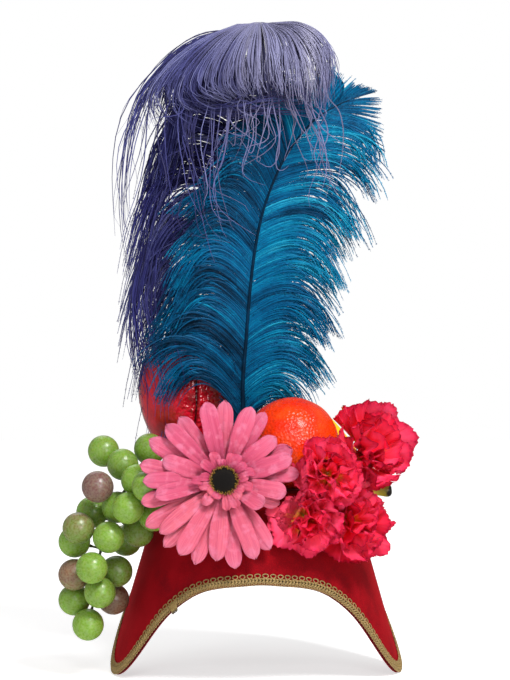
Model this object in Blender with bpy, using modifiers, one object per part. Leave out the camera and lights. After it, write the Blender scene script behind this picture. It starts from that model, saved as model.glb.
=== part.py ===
import math

import bmesh
import bpy
from mathutils import Euler, Vector
from mathutils.bvhtree import BVHTree

# Driving sizes in metres. The hat faces -Y, +X is the viewer's right, z = 0 is the wearer's brow.
GAP = 0.0003

CAP_HALF_WIDTH = 0.0858
CAP_TAPER = 0.290
CAP_DEPTH_RATIO = 1.15
CAP_WALL = 0.0022
CAP_COLUMNS = 60
CROWN_HEIGHT = 0.0684
CROWN_CORNER = 0.006
FLAP_ANGLE = 76.0

TRIM_WIDTH = 0.0075
TRIM_THICKNESS = 0.0015
TRIM_INSET = 0.0005
TRIM_COLUMNS = 90

GRAPE_RADIUS = 0.0112
STEM_RADIUS = 0.0016
PEDICEL_WIDTH = 0.0014

ORANGE_RADIUS = 0.0325
ORANGE_PLACE = (0.0234, -0.045)
APPLE_RADIUS = 0.0332
APPLE_BASE = (-0.0498, 0.012, 0.0905)
APPLE_HEIGHT = 0.074
PICK_RADIUS = 0.0025
PICK_DEPTH = 0.0011
BANANA_RADIUS = 0.0130

GERBERA_CENTRE = (-0.0255, -0.092, 0.0811)
GERBERA_TILT = 13.0
PETAL_THICKNESS = 0.0010

QUILL_WIDTH = 0.0036
LOCK_THICKNESS = 0.0030

# The cut edge of the cap, from the middle of the face round to the flap's tip.
EDGE_COLUMNS = ("angle", "height")
EDGE = (
    (0, 0.0106),
    (20, 0.0078),
    (30, 0.0040),
    (38, -0.0035),
    (43, -0.0095),
    (48, -0.0170),
    (52, -0.0255),
    (55, -0.0330),
    (60, -0.0450),
    (65, -0.0545),
    (70, -0.0600),
    (76, -0.0620),
)

# Where the grapes hang before they settle, from the top of the bunch down.
GRAPE_COLUMNS = ("x", "y", "z")
GRAPES = (
    (-0.1067, -0.022, 0.0934),
    (-0.0939, -0.038, 0.0858),
    (-0.1113, -0.057, 0.0730),
    (-0.0850, -0.054, 0.0774),
    (-0.0775, -0.0735, 0.0751),
    (-0.0978, -0.046, 0.0574),
    (-0.0901, -0.066, 0.0602),
    (-0.1151, -0.030, 0.0519),
    (-0.1247, -0.052, 0.0438),
    (-0.1039, -0.060, 0.0384),
    (-0.0835, -0.036, 0.0392),
    (-0.1278, -0.032, 0.0316),
    (-0.0919, -0.017, 0.0304),
    (-0.1155, -0.064, 0.0177),
    (-0.1279, -0.041, 0.0098),
    (-0.0985, -0.037, 0.0114),
    (-0.1101, -0.052, -0.0011),
    (-0.1279, -0.030, -0.0099),
    (-0.1008, -0.028, -0.0094),
    (-0.1186, -0.042, -0.0247),
    (-0.0751, -0.026, 0.0956),
    (-0.0725, -0.052, 0.0523),
)
STEM_COLUMNS = ("x", "y", "z")
STEM_PATH = (
    (-0.0500, -0.0240, CROWN_HEIGHT + 0.0009),
    (-0.0520, -0.0250, 0.0790),
    (-0.0680, -0.0270, 0.0820),
    (-0.0900, -0.0290, 0.0700),
    (-0.1030, -0.0290, 0.0460),
    (-0.1110, -0.0290, 0.0180),
    (-0.1140, -0.0340, -0.0080),
)

BANANA_COLUMNS = ("x", "y", "z", "girth")
BANANA = (
    (0.0100, 0.0040, 0.1235, 0.34),
    (0.0170, 0.0035, 0.1225, 0.62),
    (0.0270, 0.0020, 0.1190, 0.88),
    (0.0400, 0.0000, 0.1105, 1.00),
    (0.0530, -0.0040, 0.0970, 1.00),
    (0.0640, -0.0090, 0.0830, 0.92),
    (0.0730, -0.0130, 0.0730, 0.72),
    (0.0810, -0.0150, 0.0680, 0.50),
    (0.0870, -0.0160, 0.0660, 0.34),
    (0.0950, -0.0165, 0.0650, 0.28),
)

PETAL_COLUMNS = ("angle", "length")
OUTER_PETALS = (
    (89, 0.0555),
    (59, 0.0555),
    (27, 0.0520),
    (6, 0.0520),
    (-20, 0.0410),
    (-54, 0.0560),
    (-83, 0.0600),
    (-109, 0.0595),
    (-133, 0.0600),
    (-149, 0.0610),
    (-166, 0.0578),
    (169, 0.0580),
    (152, 0.0580),
    (124, 0.0530),
)
INNER_PETALS = (
    (103, 0.0550),
    (71, 0.0540),
    (41, 0.0465),
    (16, 0.0490),
    (-10, 0.0434),
    (-36, 0.0320),
    (-66, 0.0570),
    (-96, 0.0545),
    (-120, 0.0585),
    (-142, 0.0560),
    (-170, 0.0480),
    (180, 0.0548),
    (160, 0.0440),
    (135, 0.0545),
)

UPWARD = (0.0, 0.0, 1.0)
BLOOM_COLUMNS = ("name", "centre", "facing", "radius", "foot", "foot_facing")
BLOOMS = (
    ("top", (0.0765, -0.038, 0.0945), (0.62, -0.66, 0.42), 0.0310, (0.047, -0.030, CROWN_HEIGHT), UPWARD),
    ("front", (0.043, -0.090, 0.090), (0.15, -0.85, 0.50), 0.0225, (29, 0.060), None),
    ("low", (0.0300, -0.087, 0.055), (0.05, -0.98, -0.15), 0.0225, (22, 0.052), None),
    ("side", (0.0610, -0.065, 0.0500), (0.40, -0.90, -0.10), 0.0275, (56, 0.046), None),
)

PLUME_COLUMNS = ("x", "y", "z", "left", "right")
TEAL_PLUME = (
    (-0.0100, -0.022, CROWN_HEIGHT + GAP, 0.000, 0.000),
    (-0.0099, -0.024, 0.119, 0.000, 0.000),
    (-0.0099, -0.026, 0.144, 0.062, 0.060),
    (-0.0078, -0.028, 0.172, 0.068, 0.066),
    (-0.0051, -0.030, 0.207, 0.066, 0.070),
    (-0.0017, -0.031, 0.235, 0.062, 0.076),
    (0.0031, -0.032, 0.259, 0.058, 0.080),
    (0.0101, -0.032, 0.280, 0.052, 0.082),
    (0.0192, -0.030, 0.299, 0.046, 0.074),
    (0.0297, -0.028, 0.314, 0.040, 0.062),
    (0.0425, -0.024, 0.329, 0.034, 0.046),
    (0.0581, -0.020, 0.341, 0.028, 0.030),
    (0.0724, -0.016, 0.350, 0.020, 0.016),
)
VIOLET_PLUME = (
    (-0.0109, 0.004, CROWN_HEIGHT + GAP, 0.000, 0.000),
    (-0.0120, 0.006, 0.125, 0.000, 0.000),
    (-0.0135, 0.010, 0.165, 0.000, 0.000),
    (-0.0161, 0.016, 0.198, 0.078, 0.064),
    (-0.0180, 0.018, 0.240, 0.084, 0.062),
    (-0.0187, 0.018, 0.283, 0.090, 0.062),
    (-0.0167, 0.014, 0.325, 0.084, 0.064),
    (-0.0104, 0.004, 0.362, 0.076, 0.066),
    (0.0000, -0.010, 0.384, 0.070, 0.060),
    (0.0090, -0.030, 0.391, 0.066, 0.052),
    (0.0160, -0.046, 0.374, 0.064, 0.044),
    (0.0200, -0.054, 0.356, 0.056, 0.036),
    (0.0230, -0.056, 0.338, 0.040, 0.028),
)

COLOURS = {
    "velvet_red": (0.36, 0.008, 0.02),
    "gold_braid": (0.50, 0.34, 0.13),
    "grape_green": (0.30, 0.46, 0.10),
    "stem_brown": (0.12, 0.16, 0.04),
    "apple_red": (0.50, 0.01, 0.02),
    "wood_plain": (0.45, 0.30, 0.16),
    "orange_peel": (0.85, 0.10, 0.01),
    "banana_yellow": (0.88, 0.58, 0.02),
    "gerbera_pink": (0.85, 0.20, 0.32),
    "gerbera_heart": (0.012, 0.009, 0.006),
    "carnation_red": (0.65, 0.01, 0.04),
    "calyx_green": (0.36, 0.36, 0.10),
    "plume_teal": (0.004, 0.13, 0.25),
    "plume_violet": (0.055, 0.045, 0.17),
}
ROUGHNESS = {
    "velvet_red": 0.85,
    "gold_braid": 0.5,
    "orange_peel": 0.35,
    "apple_red": 0.2,
    "grape_green": 0.4,
    "banana_yellow": 0.45,
}


def start_scene():
    """An empty scene with one collection for the hat."""
    for item in list(bpy.data.objects):
        bpy.data.objects.remove(item)
    kept = bpy.data.collections.new("fruit_hat")
    bpy.context.scene.collection.children.link(kept)
    return kept


HAT = start_scene()


def material(name):
    found = bpy.data.materials.get(name)
    if found:
        return found
    made = bpy.data.materials.new(name)
    made.use_nodes = True
    surface = made.node_tree.nodes["Principled BSDF"]
    surface.inputs["Base Color"].default_value = (*COLOURS[name], 1.0)
    surface.inputs["Roughness"].default_value = ROUGHNESS.get(name, 0.7)
    surface.inputs["Metallic"].default_value = 0.0
    return made


def piece(name, bm, slot, smooth=False):
    """One named object from a bmesh, in the hat's collection."""
    bmesh.ops.recalc_face_normals(bm, faces=bm.faces)
    mesh = bpy.data.meshes.new(name)
    bm.to_mesh(mesh)
    bm.free()
    if smooth:
        mesh.shade_smooth()
    mesh.materials.append(material(slot))
    made = bpy.data.objects.new(name, mesh)
    HAT.objects.link(made)
    return made


def world_triangles(item):
    """An object's points in world space and its triangles, with its modifiers applied."""
    graph = bpy.context.evaluated_depsgraph_get()
    shape = item.evaluated_get(graph)
    mesh = shape.to_mesh()
    mesh.calc_loop_triangles()
    verts = [shape.matrix_world @ vert.co for vert in mesh.vertices]
    faces = [tuple(face.vertices) for face in mesh.loop_triangles]
    shape.to_mesh_clear()
    return verts, faces


def mix(a, b, share):
    return a + (b - a) * share


def table_value(rows, at, column):
    """A column of a table read between its rows, whose first column rises."""
    for low, high in zip(rows, rows[1:]):
        if at <= high[0]:
            share = (at - low[0]) / (high[0] - low[0])
            return mix(low[column], high[column], max(share, 0.0))
    return rows[-1][column]


# The cap: an elliptical cone with a flat crown, cut away over the face and the nape
def edge_height(angle):
    """Height of the cut edge, the same on both sides and mirrored behind each flap."""
    total = 0.0
    steps = (-4.0, -2.0, 0.0, 2.0, 4.0)
    for step in steps:
        turned = abs((angle + step + 180.0) % 360.0 - 180.0)
        if turned > FLAP_ANGLE:
            turned = max(2 * FLAP_ANGLE - turned, 0.0)
        total += table_value(EDGE, turned, 1)
    return total / len(steps)


def cap_point(angle, height, out=0.0):
    """A point on the cap's outer face, and the face's normal there."""
    turn = math.radians(angle)
    half = CAP_HALF_WIDTH - CAP_TAPER * height
    deep = half * CAP_DEPTH_RATIO
    normal = Vector((math.sin(turn) / half, -math.cos(turn) / deep, CAP_TAPER / half)).normalized()
    place = Vector((half * math.sin(turn), -deep * math.cos(turn), height))
    return place + normal * out, normal


def angle_on_cap(place):
    half = CAP_HALF_WIDTH - CAP_TAPER * place.z
    return math.degrees(math.atan2(place.x / half, -place.y / (half * CAP_DEPTH_RATIO)))


def edge_angles(count):
    """Angles that divide the cut edge into equal lengths."""
    fine = [index * 0.5 for index in range(721)]
    places = [cap_point(angle, edge_height(angle))[0] for angle in fine]
    run = [0.0]
    for a, b in zip(places, places[1:]):
        run.append(run[-1] + (b - a).length)
    rows = list(zip(run, fine))
    return [table_value(rows, run[-1] * index / count, 1) for index in range(count)]


def loft(bm, rings, close_rings=False):
    """Quads between neighbouring rings of equal count, each ring a closed loop."""
    made = [[bm.verts.new(place) for place in ring] for ring in rings]
    pairs = list(zip(made, made[1:]))
    if close_rings:
        pairs.append((made[-1], made[0]))
    for low, high in pairs:
        for index in range(len(low)):
            after = (index + 1) % len(low)
            bm.faces.new((low[index], low[after], high[after], high[index]))
    return made


def make_cap():
    angles = edge_angles(CAP_COLUMNS)
    shoulder = CROWN_HEIGHT - CROWN_CORNER
    rings = []
    for share in (0.0, 0.35, 0.7, 1.0):
        rings.append([cap_point(angle, mix(edge_height(angle), shoulder, share))[0] for angle in angles])
    for corner in (45.0, 90.0):
        height = shoulder + CROWN_CORNER * math.sin(math.radians(corner))
        inset = CROWN_CORNER * (1 - math.cos(math.radians(corner)))
        half = CAP_HALF_WIDTH - CAP_TAPER * height - inset
        ring = []
        for angle in angles:
            turn = math.radians(angle)
            deep = half * CAP_DEPTH_RATIO
            ring.append(Vector((half * math.sin(turn), -deep * math.cos(turn), height)))
        rings.append(ring)
    bm = bmesh.new()
    made = loft(bm, rings)
    bm.faces.new(made[-1])
    cap = piece("cap", bm, "velvet_red", smooth=True)
    wall = cap.modifiers.new("wall", "SOLIDIFY")
    wall.thickness = CAP_WALL
    wall.offset = -1.0
    wall.use_even_offset = True
    return cap


def make_trim():
    """A flat braid that follows the cut edge on the cap's outer face, joined to itself."""
    angles = edge_angles(TRIM_COLUMNS)
    count = len(angles)
    rings = []
    for index, angle in enumerate(angles):
        start, normal = cap_point(angle, edge_height(angle))
        before = angles[index - 1] - (360.0 if index == 0 else 0.0)
        after = angles[(index + 1) % count] + (360.0 if index == count - 1 else 0.0)
        along = cap_point(after, edge_height(after))[0] - cap_point(before, edge_height(before))[0]
        upward = normal.cross(along).normalized()
        ring = []
        for reach, out in ((0, 0), (1, 0), (1, 1), (0, 1)):
            flat = start + upward * (TRIM_INSET + TRIM_WIDTH * reach)
            ring.append(cap_point(angle_on_cap(flat), flat.z, GAP + TRIM_THICKNESS * out)[0])
        rings.append(ring)
    bm = bmesh.new()
    loft(bm, rings, close_rings=True)
    return piece("trim", bm, "gold_braid")


# Petals and locks are strips drawn out of one face of a hub, so each flower or plume is one body
def draw_out(bm, face, stations, frame=None):
    """Extrude a four-sided face through stations of (centre, across, through, width, thickness)."""
    frame = frame or stations[0][1:3]
    walls = []
    for centre, across, through, width, thickness in stations:
        middle = face.calc_center_median()
        signs = []
        for vert in face.verts:
            offset = vert.co - middle
            signs.append((math.copysign(1, offset.dot(frame[0])), math.copysign(1, offset.dot(frame[1]))))
        face = bmesh.ops.extrude_discrete_faces(bm, faces=[face])["faces"][0]
        for vert, (side, front) in zip(face.verts, signs):
            vert.co = centre + across * (side * width / 2) + through * (front * thickness / 2)
        for edge in face.edges:
            walls += [other for other in edge.link_faces if other is not face]
        frame = (across, through)
    return face, walls


def frame_at(places, index):
    """The run's direction at a joint, its sideways direction and the direction that its face looks in."""
    ahead = places[min(index + 1, len(places) - 1)]
    behind = places[max(index - 1, 0)]
    along = (ahead - behind).normalized()
    across = Vector((1, 0, 0))
    across = (across - along * across.dot(along)).normalized()
    return along, across, along.cross(across)


# The grapes: round beads that settle against each other round a branched stem
def nearest_on_path(place, path):
    best = None
    for a, b in zip(path, path[1:]):
        along = b - a
        share = max(0.0, min(1.0, (place - a).dot(along) / along.length_squared))
        found = a + along * share
        if best is None or (place - found).length < (place - best).length:
            best = found
    return best


def settle_grapes():
    """Push the grapes apart, mostly in depth, off the cap's side and off the stem."""
    centres = [Vector(place) for place in GRAPES]
    path = [Vector(place) for place in STEM_PATH]
    free = Vector((0.3, 1.0, 0.3))
    apart = 2 * GRAPE_RADIUS + GAP
    clear = GRAPE_RADIUS + STEM_RADIUS * 1.45 + GAP
    for turn in range(600):
        for first in range(len(centres)):
            for second in range(first + 1, len(centres)):
                away = centres[second] - centres[first]
                short = apart - away.length
                if short <= 0:
                    continue
                away.normalize()
                push = away * free
                push *= short * 0.5 / max(push.dot(away), 0.2)
                centres[first] -= push
                centres[second] += push
        for index, centre in enumerate(centres):
            face, normal = cap_point(angle_on_cap(centre), centre.z)
            short = GRAPE_RADIUS + 0.001 - (centre - face).dot(normal)
            if short > 0:
                centres[index] = centre + normal * short
            rod = nearest_on_path(centres[index], path)
            away = centres[index] - rod
            if away.length < clear:
                centres[index] = rod + away.normalized() * clear
    return centres


def make_grapes(centres):
    """The grapes as faceted beads, and the search tree of each in world space."""
    trees = []
    for index, centre in enumerate(centres):
        bm = bmesh.new()
        bmesh.ops.create_uvsphere(bm, u_segments=12, v_segments=6, radius=GRAPE_RADIUS)
        grape = piece(f"grape_{index + 1}", bm, "grape_green", smooth=True)
        grape.location = centre
        grape.rotation_euler = Euler((0.35 * index, 0.8, 0.6 * index))
        bpy.context.view_layer.update()
        trees.append(BVHTree.FromPolygons(*world_triangles(grape)))
    return trees


def way_is_clear(start, end, target, centres):
    """Whether a pedicel from start to end passes every grape but its own."""
    clear = GRAPE_RADIUS + PEDICEL_WIDTH + GAP
    others = [centre for index, centre in enumerate(centres) if index != target]
    return all((nearest_on_path(centre, (start, end)) - centre).length > clear for centre in others)


def make_stem(centres, trees):
    """A square stem drawn out joint by joint, with a pedicel out of its side for each grape in reach."""
    path = [Vector(place) for place in STEM_PATH]
    joints = []
    for a, b in zip(path, path[1:]):
        count = max(1, round((b - a).length / 0.005))
        joints += [a.lerp(b, step / count) for step in range(count)]
    joints.append(path[-1])
    width = STEM_RADIUS * 2
    bm = bmesh.new()
    foot = bmesh.ops.create_cube(bm, size=width)
    for vert in foot["verts"]:
        vert.co += joints[0] + Vector((0, 0, STEM_RADIUS))
    bm.normal_update()
    top = max(bm.faces, key=lambda face: face.normal.z)
    walls = []
    for index in range(1, len(joints)):
        along, across, through = frame_at(joints, index)
        girth = mix(width, width * 0.5, index / len(joints))
        top, grown = draw_out(bm, top, [(joints[index], across, through, girth, girth)])
        walls += [(wall, along, (joints[index] + joints[index - 1]) / 2) for wall in grown]
    bm.normal_update()
    for index, centre in enumerate(centres):
        ways = []
        for wall, along, middle in walls:
            root = wall.calc_center_median()
            toward = (centre - root).normalized()
            end = root + toward * (trees[index].ray_cast(root, toward)[3] - GAP - 0.0002)
            if (root - middle).normalized().dot(toward) < 0.45:
                continue
            if way_is_clear(root, end, index, centres) and (end - root).length > 0.0008:
                ways.append(((end - root).length, wall, along, root, toward, end))
        if not ways:
            continue
        length, wall, along, root, toward, end = min(ways, key=lambda way: way[0])
        walls = [row for row in walls if row[0] is not wall]
        across = (along - toward * along.dot(toward)).normalized()
        through = toward.cross(across)
        neck = root + toward * min(0.002, length * 0.5)
        stations = [(place, across, through, PEDICEL_WIDTH, PEDICEL_WIDTH) for place in (neck, end)]
        draw_out(bm, wall, stations, (along, wall.normal.cross(along)))
    return piece("grape_stem", bm, "stem_brown")


# The large fruits
def make_orange():
    bm = bmesh.new()
    bmesh.ops.create_uvsphere(bm, u_segments=20, v_segments=10, radius=ORANGE_RADIUS)
    orange = piece("orange", bm, "orange_peel", smooth=True)
    orange.location = (*ORANGE_PLACE, CROWN_HEIGHT + GAP + ORANGE_RADIUS)
    return orange


def make_apple():
    """A turned apple: wide shoulders, a narrow base, a dip at each end."""
    outline = (
        (0.0, 0.88), (0.24, 0.97), (0.52, 1.0), (0.80, 0.92), (0.97, 0.75), (1.0, 0.58),
        (0.93, 0.38), (0.76, 0.18), (0.52, 0.04), (0.25, 0.0), (0.0, 0.03),
    )
    bm = bmesh.new()
    rim = [bm.verts.new((APPLE_RADIUS * across, 0.0, APPLE_HEIGHT * up)) for across, up in outline]
    for a, b in zip(rim, rim[1:]):
        bm.edges.new((a, b))
    mesh = bpy.data.meshes.new("red_apple")
    bm.to_mesh(mesh)
    bm.free()
    mesh.materials.append(material("apple_red"))
    apple = bpy.data.objects.new("red_apple", mesh)
    HAT.objects.link(apple)
    turned = apple.modifiers.new("turned", "SCREW")
    turned.steps = 18
    turned.render_steps = 18
    turned.use_merge_vertices = True
    turned.merge_threshold = 0.0001
    turned.use_smooth_shade = True
    apple.location = APPLE_BASE
    return apple


def make_pick():
    """A plain round post from the crown to the dip under the apple."""
    foot = CROWN_HEIGHT + GAP
    length = APPLE_BASE[2] + PICK_DEPTH - foot
    bm = bmesh.new()
    bmesh.ops.create_cone(bm, cap_ends=True, segments=12, radius1=PICK_RADIUS, radius2=PICK_RADIUS,
                          depth=length)
    pick = piece("apple_pick", bm, "wood_plain")
    pick.location = (APPLE_BASE[0], APPLE_BASE[1], foot + length / 2)


def tube(name, slot, places, radii, sides=3):
    """A curve with a round bevel that tapers from place to place, with filled ends."""
    line = bpy.data.curves.new(name, "CURVE")
    line.dimensions = "3D"
    line.bevel_depth = 1.0
    line.bevel_resolution = sides
    line.use_fill_caps = True
    run = line.splines.new("POLY")
    run.points.add(len(places) - 1)
    for point, place, radius in zip(run.points, places, radii):
        point.co = (*place, 1.0)
        point.radius = radius
    run.use_smooth = True
    line.materials.append(material(slot))
    made = bpy.data.objects.new(name, line)
    HAT.objects.link(made)
    return made


def make_banana():
    places = [row[:3] for row in BANANA]
    radii = [BANANA_RADIUS * row[3] for row in BANANA]
    return tube("banana", "banana_yellow", places, radii)


# The flowers
def side_faces(bm, axis):
    """The quads of a hub that face away from its axis, in turn order."""
    found = [face for face in bm.faces if len(face.verts) == 4 and abs(face.normal.dot(axis)) < 0.5]
    return sorted(found, key=lambda face: math.atan2(face.normal.y, face.normal.x))


def petal_layer(name, slot, petals, hub_radius, hub_height, widest, rise):
    """A ring of petals round a flat hub, in the flower's own frame with its axis along +Z."""
    up = Vector((0, 0, 1))
    bm = bmesh.new()
    bmesh.ops.create_cone(bm, cap_ends=True, segments=len(petals), radius1=hub_radius, radius2=hub_radius,
                          depth=hub_height)
    bm.normal_update()
    turns = sorted(math.radians((angle + 180) % 360 - 180) for angle, length in petals)
    lengths = {math.radians((angle + 180) % 360 - 180): length for angle, length in petals}
    for face, turn in zip(side_faces(bm, up), turns):
        length = lengths[turn]
        out = Vector((math.cos(turn), math.sin(turn), 0))
        across = Vector((-math.sin(turn), math.cos(turn), 0))
        stations = []
        for share, width in ((0.42, 0.72), (0.72, 1.0), (0.92, 0.86), (1.0, 0.45)):
            reach = hub_radius + (length - hub_radius) * share
            lift = rise * math.sin(math.pi * 0.62 * share)
            stations.append((out * reach + up * lift, across, up, widest * width, PETAL_THICKNESS))
        draw_out(bm, face, stations)
    return piece(name, bm, slot)


def make_gerbera():
    """Outer petals, inner petals, collar and disc stacked on one axis, a cup behind them."""
    facing = Euler((math.radians(90 - GERBERA_TILT), 0, 0))
    axis = facing.to_matrix() @ Vector((0, 0, 1))
    front = Vector(GERBERA_CENTRE)
    collar_petals = [(360 / 14 * index, 0.0165 + 0.0015 * (index % 3)) for index in range(14)]
    layers = (
        ("gerbera_outer", OUTER_PETALS, 0.0105, 0.0030, 0.0112, 0.0035, -0.0082),
        ("gerbera_inner", INNER_PETALS, 0.0100, 0.0030, 0.0108, 0.0045, -0.0049),
        ("gerbera_collar", collar_petals, 0.0090, 0.0022, 0.0052, 0.0030, -0.0020),
    )
    for name, petals, hub, height, widest, rise, depth in layers:
        layer = petal_layer(name, "gerbera_pink", petals, hub, height, widest, rise)
        layer.location = front + axis * depth
        layer.rotation_euler = facing
    bm = bmesh.new()
    bmesh.ops.create_cone(bm, cap_ends=True, segments=20, radius1=0.0086, radius2=0.0060, depth=0.0026)
    disc = piece("gerbera_disc", bm, "gerbera_heart")
    disc.location = front + axis * (-0.0009 + GAP + 0.0013)
    disc.rotation_euler = facing
    back = front + axis * (-0.0097 - GAP)
    foot = Vector((back.x, -0.0575, CROWN_HEIGHT + GAP))
    places = (back, back - axis * 0.006, back - axis * 0.013, foot + Vector((0, 0, 0.004)), foot)
    tube("gerbera_calyx", "calyx_green", places, (0.0090, 0.0070, 0.0034, 0.0028, 0.0028))


def reach_in_room(centre, direction, reach, radius, others):
    """Shorten a petal until its tip is clear of the cap, the orange, the gerbera and the other blooms."""
    orange = Vector((*ORANGE_PLACE, CROWN_HEIGHT + GAP + ORANGE_RADIUS))
    tilt = math.radians(GERBERA_TILT)
    axis = Vector((0, -math.cos(tilt), math.sin(tilt)))
    for turn in range(14):
        tip = centre + direction * reach
        face, normal = cap_point(angle_on_cap(tip), min(tip.z, CROWN_HEIGHT))
        from_daisy = tip - Vector(GERBERA_CENTRE)
        depth = from_daisy.dot(axis)
        blocked = tip.z < CROWN_HEIGHT and (tip - face).dot(normal) < 0.0055
        blocked = blocked or (tip - orange).length < ORANGE_RADIUS + 0.0095
        blocked = blocked or (depth > -0.014 and (from_daisy - axis * depth).length < 0.053)
        for other, size in others:
            blocked = blocked or (tip - centre).length / radius + 0.15 > (tip - other).length / size
        if not blocked:
            break
        reach *= 0.93
    return reach


def make_carnation(name, centre, facing, radius, foot, foot_facing):
    """A ruffled bloom: fans of petals drawn out of a small round heart, on a cup with a stem."""
    axis = Vector(facing).normalized()
    turn = axis.to_track_quat("Z", "Y")
    heart = radius * 0.30
    others = [(Vector(row[1]), row[3]) for row in BLOOMS if row[0] != name]
    bm = bmesh.new()
    bmesh.ops.create_uvsphere(bm, u_segments=8, v_segments=6, radius=heart)
    bm.normal_update()
    quads = [face for face in bm.faces if len(face.verts) == 4]
    for index, face in enumerate(quads):
        out = face.calc_center_median().normalized()
        if out.z < -0.5:
            continue
        across = Vector((-out.y, out.x, 0)).normalized()
        through = out.cross(across)
        lean = (out + Vector((0, 0, 0.12))).normalized()
        stations = []
        full = reach_in_room(Vector(centre), turn @ lean, radius, radius, others)
        for share, spread, thickness in ((0.62, 0.60, 0.0016), (1.0, 0.86, 0.0012)):
            reach = lean * full * share
            ring = math.hypot(reach.x, reach.y) * 2 * math.pi / 8
            stations.append((reach, across, through, max(ring * spread, 0.003), thickness))
        draw_out(bm, face, stations)
    bloom = piece(f"carnation_{name}", bm, "carnation_red")
    bloom.location = centre
    bloom.rotation_euler = turn.to_euler()
    if foot_facing is None:
        foot, normal = cap_point(*foot, out=GAP + 0.0001)
    else:
        foot = Vector(foot) + Vector((0, 0, GAP))
        normal = Vector(foot_facing)
    back = Vector(centre) - axis * (heart + GAP)
    reach = (foot - back).length
    places = (back, back - axis * reach * 0.1, back - axis * reach * 0.2, foot + normal * reach * 0.2, foot)
    tube(f"calyx_{name}", "calyx_green", places, (0.0045, 0.0042, 0.0024, 0.0018, 0.0018), sides=2)


# The plumes: a quill with a row of drooping locks on each side
def quill_joints(rows):
    """The table's quill divided into joints about one lock apart, each with its reach to left and right."""
    joints = []
    for low, high in zip(rows, rows[1:]):
        length = (Vector(high[:3]) - Vector(low[:3])).length
        count = max(1, round(length / 0.0165))
        for step in range(count):
            joints.append([mix(a, b, step / count) for a, b in zip(low, high)])
    joints.append(list(rows[-1]))
    return joints


def lock_stations(root, along, across, face, reach, side, droop, bow):
    """A lock leaves the quill at a slant, arcs over and hangs at its tip."""
    stations = []
    width = 0.0130
    for share, spread in ((0.22, 0.95), (0.62, 1.0), (1.0, 0.30)):
        place = root + across * (side * reach * (1.06 * share - 0.16 * share ** 2))
        place += along * (reach * 0.62 * (share - 0.72 * share ** 2))
        place += Vector((0, 0, -reach * droop * share ** 2)) + face * (reach * bow * share ** 2)
        flow = across * side * (1.06 - 0.32 * share) + along * 0.62 * (1 - 1.44 * share)
        flow += Vector((0, 0, -2 * droop * share))
        flow.normalize()
        through = (face - flow * face.dot(flow)).normalized()
        broad = through.cross(flow).normalized()
        stations.append((place, broad, through, width * spread, LOCK_THICKNESS))
    return stations


def make_plume(name, slot, rows, droop, bow):
    joints = quill_joints(rows)
    places = [Vector(row[:3]) for row in joints]
    along, across, face = frame_at(places, 0)
    bm = bmesh.new()
    size = bmesh.ops.create_cube(bm, size=QUILL_WIDTH)
    for vert in size["verts"]:
        vert.co = places[0] + across * vert.co.x + face * vert.co.y + along * (vert.co.z + QUILL_WIDTH / 2)
    bm.normal_update()
    top = max(bm.faces, key=lambda item: item.normal.dot(along))
    roots = []
    for index in range(1, len(places)):
        along, across, face = frame_at(places, index)
        girth = QUILL_WIDTH * (1.0 - 0.55 * index / len(places))
        top, walls = draw_out(bm, top, [(places[index], across, face, girth, girth)])
        bm.normal_update()
        for wall in walls:
            if abs(wall.normal.dot(across)) > 0.8:
                roots.append((wall, index, math.copysign(1, wall.normal.dot(across))))
    for wall, index, side in roots:
        low, high = joints[index - 1], joints[index]
        column = 3 if side < 0 else 4
        reach = (low[column] + high[column]) / 2
        if reach < 0.012:
            continue
        along, across, face = frame_at(places, index)
        root = wall.calc_center_median()
        wall_face = (places[index] - places[index - 1]).cross(across).normalized()
        stations = lock_stations(root, along, across, face, reach, side, droop, bow)
        draw_out(bm, wall, stations, (wall_face.cross(across * side), wall_face))
    return piece(name, bm, slot)


# Pieces that lie on others are slid to their seat
def slide_to_seat(name, direction, carriers, reach=0.03, step=0.0004):
    """Move a piece along a direction until it lies about one gap from what carries it."""
    item = bpy.data.objects[name]
    bpy.context.view_layer.update()
    verts, faces = world_triangles(item)
    grounds = []
    for carrier in carriers:
        ground = world_triangles(bpy.data.objects[carrier])
        grounds.append((ground, BVHTree.FromPolygons(*ground)))
    direction = Vector(direction).normalized()
    start = -reach / 3
    travel = start
    while travel < reach:
        moved = [vert + direction * travel for vert in verts]
        tree = BVHTree.FromPolygons(moved, faces)
        nearest = 1.0
        for (points, triangles), ground in grounds:
            if tree.overlap(ground):
                nearest = 0.0
                break
            for vert in moved:
                nearest = min(nearest, ground.find_nearest(vert)[3])
            for vert in points:
                nearest = min(nearest, tree.find_nearest(vert)[3])
        if nearest < GAP + step:
            break
        travel += step if nearest < 0.004 else nearest - 0.003
    item.location = Vector(item.location) + direction * travel


def make_hat():
    make_cap()
    make_trim()
    centres = settle_grapes()
    trees = make_grapes(centres)
    make_stem(centres, trees)
    make_orange()
    make_apple()
    make_pick()
    make_banana()
    make_gerbera()
    for row in BLOOMS:
        make_carnation(*row)
    make_plume("teal_plume", "plume_teal", TEAL_PLUME, 0.30, 0.03)
    make_plume("violet_plume", "plume_violet", VIOLET_PLUME, 0.42, 0.02)
    slide_to_seat("banana", (-0.2, -0.2, -1.0), ("cap", "orange"))


make_hat()
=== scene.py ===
import math

import bpy
import numpy as np
from mathutils import Euler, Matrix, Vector, noise


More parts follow.
